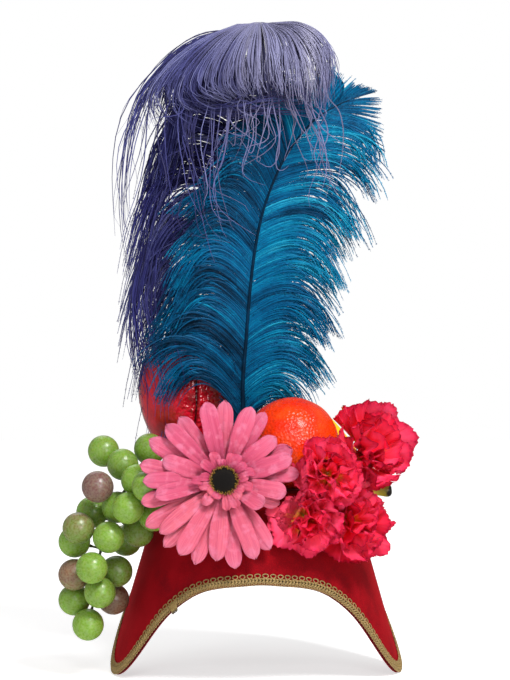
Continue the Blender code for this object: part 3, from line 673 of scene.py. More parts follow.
length_share = np.repeat(np.linspace(0.0, 1.0, len(path)), BANANA_COLUMNS)
shift = np.array(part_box("banana")[0]) - points.min(axis=0)
points += shift
banana_line = (path + shift)[::3]
banana_girth = run[::3, 3] * BANANA_RADIUS
faces = net(len(path), BANANA_COLUMNS, True) + end_faces(len(points), BANANA_COLUMNS)
rind = Finish("banana_rind", 0.42, Specular_IOR_Level=0.45)
fleck = rind.grain(0.0035, 5.0)
at = rind.sum("ADD", rind.trait("length_share"), rind.spread(fleck, 0.3, 0.7, -0.03, 0.03))
colour = rind.ramp(at, ((0.0, "6a6a20"), (0.10, "c8b41c"), (0.20, "ffcc10"), (0.62, "ffc608"),
                        (0.70, "b8ac20"), (0.79, "8c8c22"), (0.83, "1a140c")))
colour = rind.blend(rind.spread(fleck, 0.68, 0.8, 0.0, 0.6), colour, "8a6a18")
make_piece("banana_fruit", points, faces, rind.done(colour, rind.raised(fleck, 0.0005, 0.3)),
           "banana_yellow", ("banana",), length_share=length_share)


# The daisy. A large silk gerbera: two rings of long pressed petals with creases down their length, a
# ring of short ones round a dark flocked heart edged with gold-green stamens, and a moulded cup behind.
DAISY_CENTRE = np.array((-0.0255, -0.092, 0.0811))
DAISY_TILT = 13.0
PETAL_ROWS = 24
PETAL_COLUMNS = 13
# Degrees round the heart from the right, and length from its middle.
OUTER_PETALS = (
    (89, 0.0555), (59, 0.0555), (27, 0.0520), (6, 0.0520), (-20, 0.0410), (-54, 0.0560), (-83, 0.0600),
    (-109, 0.0595), (-133, 0.0600), (-149, 0.0610), (-166, 0.0578), (169, 0.0580), (152, 0.0580),
    (124, 0.0530),
)
INNER_PETALS = (
    (103, 0.0550), (71, 0.0540), (41, 0.0465), (16, 0.0490), (-10, 0.0434), (-36, 0.0320), (-66, 0.0570),
    (-96, 0.0545), (-120, 0.0585), (-142, 0.0560), (-170, 0.0480), (180, 0.0548), (160, 0.0440),
    (135, 0.0545),
)
FOLDED_PETAL = -36
SHORT_PETALS = 20
HEART_RADIUS = 0.0092
HEART_RIM = 0.0072
TUFTS = 300
TUFT_TURN = 2.39996
daisy_turn = np.array(Euler((math.radians(90 - DAISY_TILT), 0, 0)).to_matrix())


def daisy_place(points):
    """Points of the flower's own frame, whose third axis looks out of its face, brought to the hat."""
    return points @ daisy_turn.T + DAISY_CENTRE


def pressed_petal(dice, angle, length, hub, widest, level, rise):
    """One petal as a net of points in the flower's frame, with how far along and across each lies."""
    along = np.linspace(0.0, 1.0, PETAL_ROWS)[:, None] ** 0.8
    side = np.linspace(-1.0, 1.0, PETAL_COLUMNS)[None, :]
    turn = math.radians(angle + dice.uniform(-1.5, 1.5))
    out = np.array((math.cos(turn), math.sin(turn), 0.0))
    across = np.array((-math.sin(turn), math.cos(turn), 0.0))
    blunt = np.clip((along - 0.80) / 0.20, 0.0, 1.0)
    width = widest / 2 * np.clip(0.46 + 1.15 * along, 0.0, 1.0) * np.sqrt(1.0 - 0.985 * blunt ** 2)
    width = width * (1 + 0.045 * np.sin(along * 9 + dice.uniform(0, 6))) * dice.uniform(0.90, 1.08)
    reach = hub + (length - hub) * (along - 0.012 * blunt * np.cos(side * 5.5) * dice.uniform(0.2, 1.2))
    sway = dice.uniform(-0.0016, 0.0016) * along ** 2
    lift = rise * np.sin(math.pi * 0.62 * along) - dice.uniform(0.0, 0.0035) * along ** 3
    if angle == FOLDED_PETAL:
        lift = lift + 0.010 * along ** 2
    crease = np.exp(-((np.abs(side) - 0.36) / 0.12) ** 2) * 0.0008 * np.clip(1.3 - along, 0, 1)
    cup = 0.0011 * side ** 2 * (0.4 + along) * dice.uniform(-0.6, 1.0)
    twist = side * width * dice.uniform(-0.22, 0.22) * along
    curl = 0.0007 * np.sin(side * 2.2 + dice.uniform(0, 6)) * along ** 3
    height = level + lift - crease - cup + twist + curl
    points = out * reach[..., None] + across * (side * width + sway)[..., None]
    points = points + np.array((0, 0, 1.0)) * height[..., None]
    return points.reshape(-1, 3), (along + 0 * side).ravel(), (side + 0 * along).ravel()


petal_silk = Finish("pressed_pink_silk", 0.6, Specular_IOR_Level=0.25,
                    Subsurface_Weight=0.12, Subsurface_Scale=0.002)
tint = petal_silk.trait("tint")
fibre_at = petal_silk.add("CombineXYZ", X=petal_silk.sum("MULTIPLY", petal_silk.trait("side"), 9.0),
                          Y=petal_silk.trait("along"), Z=petal_silk.sum("MULTIPLY", tint, 40.0))
fibres = petal_silk.add("TexNoise", Vector=fibre_at.outputs["Vector"], Scale=1.6, Detail=4.0).outputs["Fac"]
colour = petal_silk.ramp(petal_silk.trait("along"), ((0.0, "881a40"), (0.14, "a83458"), (0.38, "c44868"),
                                                     (0.80, "d65e7e"), (1.0, "cc7694")))
colour = petal_silk.blend(petal_silk.spread(tint, 0.5, 1.0, 0.0, 0.55), colour, "e4787e")
colour = petal_silk.blend(petal_silk.spread(tint, 0.25, 0.50, 0.45, 0.0), colour, "b8486e")
colour = petal_silk.blend(petal_silk.spread(fibres, 0.35, 0.7, 0.65, 0.0), colour, "bc3c60")
colour = petal_silk.blend(petal_silk.spread(petal_silk.grain(0.006), 0.5, 0.7, 0.0, 0.5), colour, "de809e")
weave = petal_silk.raised(petal_silk.grain(0.0004), 0.0001, 0.4)
petal_finish = petal_silk.done(colour, petal_silk.raised(fibres, 0.0004, 0.5, weave))
dice = np.random.default_rng(14)
short_petals = [(360 / SHORT_PETALS * index + dice.uniform(-7, 7), 0.0140 + 0.0090 * dice.random())
                for index in range(SHORT_PETALS)]
# Piece, node, petals, where they start, their width, their level behind the heart and how high they arch.
daisy_rings = (
    ("daisy_outer_petals", "gerbera_outer", OUTER_PETALS, 0.0098, 0.0122, -0.0082, 0.0035),
    ("daisy_inner_petals", "gerbera_inner", INNER_PETALS, 0.0092, 0.0120, -0.0049, 0.0045),
    ("daisy_short_petals", "gerbera_collar", short_petals, 0.0080, 0.0066, -0.0020, 0.0056),
)
for name, node, petals, hub, widest, level, rise in daisy_rings:
    parts = []
    alongs = []
    sides = []
    tints = []
    for angle, length in petals:
        points, along, side = pressed_petal(dice, angle, length, hub, widest, level, rise)
        parts.append((daisy_place(points), net(PETAL_ROWS, PETAL_COLUMNS, False)))
        alongs.append(along * (0.45 if node == "gerbera_collar" else 1.0))
        sides.append(side)
        shade = 0.25 + 0.4 * dice.random() + (0.35 if math.sin(math.radians(angle)) < -0.2 else 0.0)
        tints.append(np.full(len(points), shade))
    points, faces = gather(parts)
    made = make_piece(name, points, faces, petal_finish, "gerbera_pink", (node,),
                      along=np.concatenate(alongs), side=np.concatenate(sides), tint=np.concatenate(tints))
    cloth = made.modifiers.new("cloth", "SOLIDIFY")
    cloth.thickness = 0.0003
    cloth.offset = 0.0

dome, dome_faces = ball(40, 20)
dome = dome * np.array((0.0087, 0.0087, 0.0024)) + np.array((0, 0, -0.0008))
tuft_parts = [(daisy_place(dome), dome_faces)]
tuft_gold = [np.zeros(len(dome))]
for index in range(TUFTS):
    radius = HEART_RADIUS * math.sqrt((index + 0.5) / TUFTS)
    turn = index * TUFT_TURN
    out = np.array((math.cos(turn), math.sin(turn), 0.0))
    foot = out * radius + np.array((0.0, 0.0, 0.0010 - 0.0022 * (radius / HEART_RADIUS) ** 2))
    rim = radius > HEART_RIM
    tall = (0.0030 if rim else 0.0011) * dice.uniform(0.75, 1.2)
    lean = out * (0.55 if rim else 0.12)
    tip = foot + unit(lean + np.array((0, 0, 1.0)) + dice.uniform(-0.2, 0.2, 3)) * tall
    path = np.linspace(foot, tip, 4)
    points, faces = tube(path, beside(path), np.array((0.00030, 0.00028, 0.00034, 0.00010)), 4)
    tuft_parts.append((daisy_place(points), faces))
    golden = 1.0 if rim and dice.random() < 0.85 else (0.3 if radius > 0.0060 else 0.0)
    tuft_gold.append(np.repeat((0.1 * golden, 0.5 * golden, golden, golden), 4))
points, faces = gather(tuft_parts)
flock = Finish("flocked_heart", 0.85, Specular_IOR_Level=0.2)
colour = flock.ramp(flock.trait("gold"), ((0.0, "100c0a"), (0.35, "2a2412"), (0.8, "86682c"),
                                          (1.0, "b08a3c")))
make_piece("daisy_heart", points, faces, flock.done(colour, flock.raised(flock.grain(0.0003), 0.0003, 0.6)),
           "gerbera_heart", ("gerbera_disc",), gold=np.concatenate(tuft_gold))

cup = Finish("moulded_cup", 0.5, Specular_IOR_Level=0.4)
ribs = cup.grain(0.0012, 3.0, cup.place((1.0, 1.0, 0.3)))
colour = cup.ramp(ribs, ((0.3, "7e8a34"), (0.55, "b4b04c"), (0.8, "cfc468")))
cup_finish = cup.done(colour, cup.raised(ribs, 0.0004, 0.4))
for node in ("gerbera_calyx", "calyx_top", "calyx_front", "calyx_low", "calyx_side"):
    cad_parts[node].data.materials[0] = cup_finish
    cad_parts[node].data.shade_smooth()


# The carnations. Four small silk blooms, each a bunch of thin fan-shaped petals with pinked edges,
# crimped into ruffles, yellow at the throat and darker at the cut edge, in a moulded cup.
FAN_ROWS = 11
FAN_COLUMNS = 33
FRUIT_GAP = 0.001
CAP_GAP = 0.0012
DAISY_REACH = 0.055
DAISY_BACK = 0.0125
# Name, middle, where it looks, radius and seed.
BLOOMS = (
    ("top", (0.0738, -0.041, 0.0932), (0.52, -0.74, 0.42), 0.0315, 31),
    ("front", (0.0455, -0.088, 0.085), (0.15, -0.85, 0.50), 0.0245, 33),
    ("low", (0.0300, -0.087, 0.055), (0.05, -0.98, -0.15), 0.0245, 35),
    ("side", (0.0610, -0.065, 0.0500), (0.40, -0.90, -0.10), 0.0290, 37),
)
# Direction, length and half angle of single petals that reach out of a bloom.
LONG_PETALS = {"top": (((-0.45, 0.25, 0.86), 0.0360, 22.0),)}
# Petals, lean in degrees, length as a share of the bloom's radius and half angle in degrees.
RUFFLE_RINGS = (
    (3, 14.0, 0.84, 50.0),
    (5, 38.0, 1.00, 46.0),
    (6, 64.0, 1.06, 42.0),
    (7, 88.0, 1.04, 42.0),
)


def keep_clear(points, centre, radius):
    """Points of a bloom moved just off the other blooms, the orange, the banana, the cap and the daisy."""
    for _, other, _, size, _ in BLOOMS:
        other = np.array(other)
        if np.allclose(other, centre):
            continue
        for _ in range(14):
            own = np.linalg.norm(points - centre, axis=1) / radius
            near = own > np.linalg.norm(points - other, axis=1) / size + 0.22
            drawn_in = centre + (points - centre) * 0.96
            points = np.where((near & (own > 0.3))[:, None], drawn_in, points)
    away = points - orange_centre
    far = np.linalg.norm(away, axis=1)
    points = np.where((far < orange_radius + FRUIT_GAP)[:, None],
                      orange_centre + away / far[:, None] * (orange_radius + FRUIT_GAP), points)
    for place, girth in zip(banana_line, banana_girth + FRUIT_GAP):
        away = points - place
        far = np.linalg.norm(away, axis=1)
        points = np.where((far < girth)[:, None], place + away / far[:, None] * girth, points)
    low = points[:, 2] < CROWN_HEIGHT
    half = CAP_HALF_WIDTH - CAP_TAPER * points[:, 2]
    turned = np.degrees(np.arctan2(points[:, 0] / half, -points[:, 1] / (half * CAP_DEPTH_RATIO)))
    face, normal = cap_face(turned, points[:, 2])
    short = CAP_GAP - np.sum((points - face) * normal, axis=1)
    points = np.where((low & (short > 0))[:, None], points + normal * np.maximum(short, 0)[:, None], points)
    axis = daisy_turn[:, 2]
    deep = (points - DAISY_CENTRE) @ axis
    wide = np.linalg.norm(points - DAISY_CENTRE - deep[:, None] * axis, axis=1)
    over = (wide < DAISY_REACH) & (deep > -DAISY_BACK) & (deep < 0.03)
    return np.where(over[:, None], points - (deep + DAISY_BACK)[:, None] * axis, points)


def fan_petal(dice, turn, lean, length, spread):
    """One crimped fan with a pinked edge in the bloom's frame, and how far along it each point lies."""
    along = np.linspace(0.0, 1.0, FAN_ROWS)[:, None]
    side = np.linspace(-1.0, 1.0, FAN_COLUMNS)[None, :]
    out = np.array((math.cos(turn) * math.sin(lean), math.sin(turn) * math.sin(lean), math.cos(lean)))
    across = np.array((-math.sin(turn), math.cos(turn), 0.0))
    through = np.cross(across, out)
    fan = side * spread * (0.55 + 0.45 * along)
    teeth = 0.055 * np.abs((side * 6.5 + dice.random()) % 1.0 - 0.5) * 2 * along ** 8
    lobe = 0.10 * side ** 2 + 0.05 * np.cos(side * 4 + dice.uniform(0, 6))
    reach = length * (0.10 + 0.90 * along) * (1.0 - (lobe + teeth) * along)
    folds = dice.uniform(1.6, 3.2)
    wave = np.sin(side * folds * math.pi + dice.uniform(0, 6))
    wave = wave + 0.25 * np.sin(side * folds * 7.3 + dice.uniform(0, 6))
    lift = length * (0.15 * wave * along ** 1.3 - dice.uniform(-0.05, 0.42) * along ** 2)
    bend = length * dice.uniform(-0.10, 0.10) * along ** 2
    points = (out * (reach * np.cos(fan))[..., None] + across * (reach * np.sin(fan) + bend)[..., None]
              + through * lift[..., None])
    return points.reshape(-1, 3), (along + 0 * side).ravel()


bloom_silk = Finish("ruffled_red_silk", 0.55, Specular_IOR_Level=0.2,
                    Subsurface_Weight=0.2, Subsurface_Scale=0.003)
blotch = bloom_silk.grain(0.004, 4.0)
at = bloom_silk.sum("ADD", bloom_silk.trait("along"), bloom_silk.spread(blotch, 0.3, 0.7, -0.06, 0.06))
colour = bloom_silk.ramp(at, ((0.0, "e8b030"), (0.30, "f08c28"), (0.44, "f61e2a"), (0.60, "f8102c"),
                              (0.92, "e0143a"), (1.0, "ae0a30")))
pinker = bloom_silk.ramp(at, ((0.0, "e8b840"), (0.30, "f07c40"), (0.46, "f43c58"), (0.80, "fa4c74"),
                              (0.95, "ea305c"), (1.0, "c0163e")))
colour = bloom_silk.blend(bloom_silk.trait("tint"), colour, pinker)
colour = bloom_silk.blend(bloom_silk.spread(blotch, 0.6, 0.8, 0.0, 0.3), colour, "f05a78")
threads = bloom_silk.grain(0.0005, 2.0)
bloom_finish = bloom_silk.done(colour, bloom_silk.raised(threads, 0.0001, 0.4,
                                                         bloom_silk.raised(blotch, 0.0006, 0.3)))
for name, centre, facing, radius, seed in BLOOMS:
    dice = np.random.default_rng(seed)
    centre = np.array(centre)
    turned = np.array(Vector(facing).to_track_quat("Z", "Y").to_matrix())
    petals = []
    for ring_number, (count, lean, share, spread) in enumerate(RUFFLE_RINGS):
        for index in range(count):
            turn = (index + 0.37 * ring_number) / count * 2 * math.pi + dice.uniform(-0.32, 0.32)
            tilt = math.radians(lean + dice.uniform(-14, 14))
            wide = math.radians(spread * dice.uniform(0.9, 1.25))
            length = radius * share * dice.uniform(0.82, 1.12)
            petal = fan_petal(dice, turn, tilt, length, wide)
            petals.append((*petal, np.clip(dice.normal(0.35 + 0.12 * ring_number, 0.3), 0, 1)))
    for way, length, spread in LONG_PETALS.get(name, ()):
        toward = unit(np.array(way)) @ turned
        turn = math.atan2(toward[1], toward[0])
        petal = fan_petal(dice, turn, math.acos(toward[2]), length, math.radians(spread))
        petals.append((*petal, 0.6))
    fan_faces = net(FAN_ROWS, FAN_COLUMNS, False)
    points, faces = gather([(keep_clear(centre + petal @ turned.T, centre, radius), fan_faces)
                            for petal, _, _ in petals])
    make_piece(f"ruffled_bloom_{name}", points, faces, bloom_finish, "carnation_red", (f"carnation_{name}",),
               along=np.concatenate([along for _, along, _ in petals]),
               tint=np.repeat([tint for _, _, tint in petals], FAN_ROWS * FAN_COLUMNS))


# The plumes. Two dyed ostrich feathers stood in the crown, each a curved quill with soft barbs down both
# sides, edged with downy barbules, that cling in locks and droop. The teal one stands in front. The
# violet one, behind it, is looser, and its top curls forward into a pale mop that hangs over the teal.
DOWN = np.array((0.0, 0.0, -1.0))
# Points up the teal quill. At each, a side's barbs have a length, then how far they fall and how far
# they rise along the quill, both as shares of that length.
TEAL_RUN = (
    (-0.0100, -0.022, 0.0687), (-0.0099, -0.024, 0.119), (-0.0099, -0.026, 0.144), (-0.0089, -0.027, 0.158),
    (-0.0078, -0.028, 0.172), (-0.0051, -0.030, 0.207), (-0.0017, -0.031, 0.235), (0.0031, -0.032, 0.259),
    (0.0101, -0.032, 0.280), (0.0192, -0.030, 0.299), (0.0297, -0.028, 0.314), (0.0425, -0.024, 0.327),
    (0.0560, -0.020, 0.335), (0.0650, -0.018, 0.339),
)
TEAL_LEFT = (
    (0.040, 0.18, 1.60), (0.070, 0.20, 1.55), (0.076, 0.26, 1.35), (0.078, 0.32, 1.20), (0.078, 0.38, 1.10),
    (0.072, 0.38, 1.08), (0.068, 0.36, 1.08), (0.064, 0.32, 1.05), (0.056, 0.24, 1.00), (0.050, 0.16, 1.05),
    (0.042, 0.10, 1.20), (0.034, 0.05, 1.40), (0.026, 0.02, 1.50), (0.019, 0.00, 1.50),
)
TEAL_RIGHT = (
    (0.020, 0.30, 1.10), (0.056, 0.34, 1.05), (0.063, 0.36, 1.00), (0.065, 0.36, 0.95), (0.065, 0.36, 0.90),
    (0.067, 0.34, 0.85), (0.071, 0.32, 0.85), (0.075, 0.28, 0.90), (0.077, 0.22, 0.95), (0.070, 0.16, 1.05),
    (0.060, 0.10, 1.20), (0.046, 0.05, 1.40), (0.033, 0.02, 1.50), (0.022, 0.00, 1.50),
)
VIOLET_RUN = (
    (-0.0109, 0.004, 0.0687), (-0.0120, 0.006, 0.125), (-0.0135, 0.010, 0.165), (-0.0161, 0.016, 0.198),
    (-0.0180, 0.018, 0.240), (-0.0187, 0.018, 0.283), (-0.0167, 0.014, 0.325), (-0.0104, 0.004, 0.362),
    (-0.0020, -0.010, 0.386), (0.0060, -0.024, 0.3905),
)
# Length of the violet barbs at the left and at the right of those points, and how far they fall.
VIOLET_BARBS = (
    (0.000, 0.000, 0.75), (0.034, 0.020, 0.90), (0.064, 0.044, 0.90), (0.078, 0.060, 0.84),
    (0.088, 0.070, 0.80), (0.090, 0.070, 0.78), (0.086, 0.062, 0.82), (0.070, 0.050, 0.90),
    (0.050, 0.040, 1.00), (0.040, 0.030, 1.00),
)
VIOLET_RISE = 0.62


def run_along(rows, at):
    """The table's columns at lengths up a quill, the quill's direction there and the way across it."""
    fine = eased(rows, 24)
    run = length_to(fine[:, :3])
    at = np.clip(at, 0.0, run[-1])
    found = np.stack([np.interp(at, run, fine[:, column]) for column in range(fine.shape[1])], axis=1)
    ahead = unit(np.stack([np.interp(at, run, np.gradient(fine[:, column])) for column in range(3)], axis=1))
    across = unit(np.array((1.0, 0, 0)) - ahead * ahead[:, :1])
    return found, ahead, across


def barb_paths(dice, rows, at, side, shape, steps=15):
    """Paths of barbs on one side of a quill, drawn together into locks towards their tips."""
    count = len(at)
    cuts = np.cumsum(dice.uniform(*shape["lock"], 400))
    lock = np.searchsorted(cuts, at)
    middle = np.concatenate(([cuts[0] / 2], (cuts[1:] + cuts[:-1]) / 2))
    table = dice.normal(0, 1, (len(middle), 7))
    flowing = np.stack([np.interp(at, middle, table[:, column]) for column in range(7)], axis=1)
    loose = dice.normal(0, 1, (count, 7)) * shape["loose"]
    share = np.linspace(0.0, 1.0, steps)[None, :]

    def path(places, own, ragged):
        found, ahead, across = run_along(rows, places)
        own = own * np.array(shape["vary"])
        size = found[:, 3] * (1 + own[:, 6] + ragged).clip(0.5, 1.5)
        out = (1.0 + own[:, :1]) * share - shape["turn_in"] * share ** 2
        up = (found[:, 5:6] + own[:, 1:2]) * (share - (0.72 + own[:, 2:3]) * share ** 2)
        fall = (found[:, 4:5] + own[:, 3:4]) * share ** 2.2
        forward = (shape["bow"] + own[:, 4:5]) * share ** 1.6
        wander = own[:, 5:6] * np.sin(share * 5 + own[:, :1] * 60) * share
        way = (across[:, None] * (side * out)[..., None] + ahead[:, None] * up[..., None]
               + DOWN * fall[..., None] - np.array((0, 1, 0)) * forward[..., None]
               + np.array((0.3, 1.0, 0.4)) * wander[..., None])
        return found[:, None, :3] + way * size[:, None, None]

    kept = shape["flow"]
    ragged = dice.normal(0, shape["ragged"], count)
    own = path(at, loose + 0.6 * (flowing * kept + table[lock] * (1 - kept)), ragged)
    led = path(middle[lock], table[lock] * 0.8 + 0.3 * loose, ragged * 1.2)
    joined = np.clip((share - 0.25) / 0.75, 0, 1) ** shape["join"]
    cling = shape["cling"] * joined * dice.uniform(0.5, 1.0, (count, 1))
    return own + (led - own) * cling[..., None], lock


def barb_mesh(dice, paths, shade, shape):
    """Tapering barbs, raised along their middles, with downy barbules down both edges: points, faces,
    how far along its barb each point lies, and its shade."""
    count, steps, _ = paths.shape
    ahead = unit(np.gradient(paths, axis=1))
    outward = np.array((0.0, -1.0, 0.0)) + dice.normal(0, shape["roll"], (count, 1, 3))
    edge = unit(np.cross(ahead, outward + 0 * ahead))
    lifted = np.cross(edge, ahead)
    share = np.linspace(0, 1, steps)
    taper = np.interp(share, (0, 0.12, 0.60, 1.0), (0.6, 0.95, 1.0, 0.24)) * shape["width"] / 2
    taper = taper[None, :, None] * dice.uniform(0.7, 1.15, (count, 1, 1))
    points = np.stack((paths - edge * taper, paths + lifted * taper * 0.7, paths + edge * taper), axis=2)
    base = (np.arange(count)[:, None] * steps + np.arange(steps - 1)[None, :])[..., None] * 3 + np.arange(2)
    faces = np.stack((base, base + 1, base + 4, base + 3), axis=-1).reshape(-1, 4)
    along = np.repeat(np.tile(share, count), 3)
    shades = np.repeat(shade, steps * 3)
    # Each barb's raised middle is painted lighter and its edges darker, as painted highlight and shade.
    shades = shades + np.tile((-0.05, 0.05, -0.05), count * steps)
    lengths = np.linalg.norm(np.diff(paths, axis=1), axis=2).sum(axis=1)
    owner = np.repeat(np.arange(count), np.maximum((lengths / shape["hair_gap"]).astype(int), 2))
    place = dice.random(len(owner)) ** 0.7
    spot = place * (steps - 1)
    low = np.minimum(spot.astype(int), steps - 2)
    part = (spot - low)[:, None]
    root = paths[owner, low] * (1 - part) + paths[owner, low + 1] * part
    way = ahead[owner, low]
    hairs = []
    for sign in (-1.0, 1.0):
        slant = np.radians(dice.uniform(16, 42, len(owner)))[:, None]
        lean = dice.normal(0, 0.35, len(owner))[:, None]
        toward = unit(way * np.cos(slant) + edge[owner, low] * sign * np.sin(slant)
                      + lifted[owner, low] * lean * np.sin(slant))
        size = shape["down"] * dice.uniform(0.6, 1.15, len(owner)) * np.clip(1.3 - place, 0.4, 1.0)
        foot = way * 0.0003
        hairs.append(np.stack((root - foot, root + foot, root + toward * size[:, None]), axis=1))
    hair_points = np.concatenate(hairs).reshape(-1, 3)
    hair_faces = (np.arange(len(hair_points)) + points.size // 3).reshape(-1, 3)
    hair_shade = np.tile(np.repeat(shade[owner] + dice.normal(0, 0.07, len(owner)), 3), 2)
    hair_along = np.tile(np.repeat(place, 3), 2)
    return (np.concatenate((points.reshape(-1, 3), hair_points)), faces.tolist() + hair_faces.tolist(),
            np.concatenate((along, hair_along)), np.concatenate((shades, hair_shade)))


def combed(dice, guides, count, stray, curl, least, steps=16):
    """Strands laid between neighbouring guide lines in small locks, each straying a little on its own."""
    lines = np.array([eased(guide, 8) for guide in guides])
    place = dice.uniform(0, len(guides) - 1, count)
    locked = np.round(place * 5) / 5
    place = np.clip(place + (locked - place) * dice.uniform(0.55, 1.0, count), 0, len(guides) - 1.001)
    low = place.astype(int)
    part = (place - low)[:, None, None]
    whole = lines[low] * (1 - part) + lines[low + 1] * part
    share = np.linspace(0.0, 1.0, steps)
    spot = share[None] * dice.uniform(least, 1.0, (count, 1)) * (lines.shape[1] - 1)
    left = np.minimum(spot.astype(int), lines.shape[1] - 2)
    rest = (spot - left)[..., None]
    row = np.arange(count)[:, None]
    paths = whole[row, left] * (1 - rest) + whole[row, left + 1] * rest
    together = (locked * 5).astype(int)
    paths = paths + dice.normal(0, 1, (count, 1, 3)) * stray * share[None, :, None]
    paths = paths + dice.normal(0, 1, (len(guides) * 5 + 1, 1, 3))[together] * stray * share[None, :, None]
    beat = share[None] * dice.uniform(5, 11, (count, 1))
    swing = np.sin(beat + dice.uniform(0, 6, (count, 1))) * share[None] ** 1.5
    paths = paths + dice.normal(0, 1, (count, 1, 3)) * curl * swing[..., None]
    return paths, together


def feather_dye_and_shade(name, stops, pale):
    """Dyed down, darker at the quill and streaked along its locks, with a soft gloss; the shade that the
    barbs carry holds painted light and shade too.
    """
    dye = Finish(name, 0.5, Specular_IOR_Level=0.08)
    patch = dye.grain(0.012, 3.0)
    at = dye.sum("ADD", dye.trait("shade"), dye.spread(patch, 0.3, 0.7, -0.10, 0.10))
    at = dye.sum("ADD", at, dye.sum("MULTIPLY", dye.trait("along"), 0.10))
    colour = dye.blend(dye.trait("faded"), dye.ramp(at, stops), pale)
    return dye.done(colour, dye.raised(dye.grain(0.0004), 0.0002, 0.3))


def make_quill(name, rows, thick, finish, slot, node):
    """The bare quill, tapering from its foot."""
    path = eased(rows, 10)[:, :3]
    girth = thick * np.linspace(1.0, 0.28, len(path))
    points, faces = tube(path, beside(path), girth, 10)
    none = np.zeros(len(points))
    make_piece(name, points, faces, finish, slot, (node,), shade=none + 0.02, along=none, faded=none)


def make_down(name, parts, finish, slot, node, faded=0.0):
    """Barbs or strands, made by barb_mesh in one or more parts, as one piece."""
    points, faces = gather([part[:2] for part in parts])
    make_piece(name, points, faces, finish, slot, (node,), smooth=False,
               shade=np.concatenate([part[3] for part in parts]),
               along=np.concatenate([part[2] for part in parts]), faded=faded + np.zeros(len(points)))


teal_dye_and_shade = feather_dye_and_shade("teal_dye_and_shade", ((0.0, "001c30"), (0.3, "00385a"), (0.55, "005480"), (0.8, "00749a"),
                                     (1.0, "2496b6")), "5a9cb0")
teal_shape = {"lock": (0.006, 0.011), "turn_in": 0.20, "bow": 0.05, "cling": 0.85, "join": 2.8,
              "flow": 1.0, "loose": 0.28, "ragged": 0.075, "roll": 0.16, "width": 0.00105,
              "hair_gap": 0.0016, "down": 0.0034, "vary": (0.05, 0.09, 0.07, 0.10, 0.10, 0.03, 0.07)}
open_shape = dict(teal_shape, lock=(0.0045, 0.0080), cling=0.94, join=1.3, loose=0.22)
tip_shape = dict(teal_shape, hair_gap=0.0022, down=0.0028, width=0.0009)
# Name, side of the quill, seed, table, sweeps and fans. A sweep has a number of barbs, the stretch of the
# quill that they grow from, and their shape. A fan has a number of barbs and of spokes, such a stretch,
# and from its first spoke to its last the splay in degrees and the length, then a shade. The fans fill
# the plume's tip and its foot.
TEAL_SIDES = (
    ("left", -1, 51, np.hstack((TEAL_RUN, TEAL_LEFT)),
     ((680, 0.045, 0.288, teal_shape),),
     ((90, 45, 0.236, 0.276, 14, 36, 0.034, 0.044, 0.42),
      (90, 45, 0.030, 0.064, 46, 10, 0.020, 0.036, 0.02))),
    ("right", 1, 52, np.hstack((TEAL_RUN, TEAL_RIGHT)),
     ((480, 0.048, 0.192, teal_shape), (200, 0.180, 0.272, open_shape)),
     ((24, 6, 0.270, 0.279, -30, -22, 0.040, 0.036, 0.52),
      (130, 26, 0.283, 0.2985, -30, -2, 0.028, 0.021, 0.36),
      (64, 7, 0.296, 0.280, 6, 36, 0.024, 0.034, 0.42),
      (76, 7, 0.282, 0.272, 40, 66, 0.034, 0.046, 0.42),
      (90, 45, 0.030, 0.064, 60, 14, 0.020, 0.036, 0.02))),
)
make_quill("teal_quill", TEAL_RUN, 0.0016, teal_dye_and_shade, "plume_teal", "teal_plume")
for name, side, seed, rows, sweeps, fans in TEAL_SIDES:
    dice = np.random.default_rng(seed)
    barbs = []
    for count, low, high, shape in sweeps:
        at = np.linspace(low, high, count) + dice.normal(0, 0.0004, count)
        paths, lock = barb_paths(dice, rows, at, side, shape)
        shade = 0.42 + dice.normal(0, 0.10, count) + dice.normal(0, 0.11, lock.max() + 1)[lock]
        # The barbs at the right of the quill are painted lighter and those at the left darker, as painted
        # light and shade, and the fine light and dark lines across the vane are painted as the sheen on the
        # barbs and the shade between them.
        shade = shade + 0.11 * np.sin(at * 2 * math.pi / 0.0017) + (0.13 if side > 0 else -0.10)
        barbs.append(barb_mesh(dice, paths, shade, shape))
    for count, spokes, low, high, splay_low, splay_high, first, last, tone in fans:
        spoke = (dice.integers(0, spokes, count) + 0.5 + dice.normal(0, 0.15, count)) / spokes
        at = low + (high - low) * spoke + dice.normal(0, 0.0006, count)
        found, ahead, across = run_along(rows, at)
        splay = np.radians(splay_low + (splay_high - splay_low) * spoke)[:, None]
        size = (first + (last - first) * spoke) * dice.uniform(0.88, 1.06, count)
        run = np.linspace(0.0, 1.0, 12)[None, :, None]
        way = ahead * np.cos(splay) + across * side * np.sin(splay)
        bend = (across * side * 0.08 + DOWN * 0.06)[:, None] * run ** 2
        paths = found[:, None, :3] + (way[:, None] * run + bend) * size[:, None, None]
        barbs.append(barb_mesh(dice, paths, tone + dice.normal(0, 0.14, count), tip_shape))
    make_down(f"teal_barbs_{name}", barbs, teal_dye_and_shade, "plume_teal", "teal_plume")

violet_dye_and_shade = feather_dye_and_shade("violet_dye_and_shade", ((0.0, "0e0c28"), (0.3, "201e4c"), (0.55, "30316a"), (0.8, "4a4d86"),
                                         (1.0, "70729f")), "a09eb8")
violet_shape = {"lock": (0.005, 0.012), "turn_in": 0.34, "bow": 0.10, "cling": 0.90, "join": 1.5,
                "flow": 0.9, "loose": 0.60, "ragged": 0.07, "roll": 0.35, "width": 0.00115,
                "hair_gap": 0.0019, "down": 0.0030, "vary": (0.09, 0.14, 0.10, 0.13, 0.14, 0.06, 0.09)}
strand_shape = {"roll": 0.30, "width": 0.00075, "hair_gap": 0.02, "down": 0.0015}
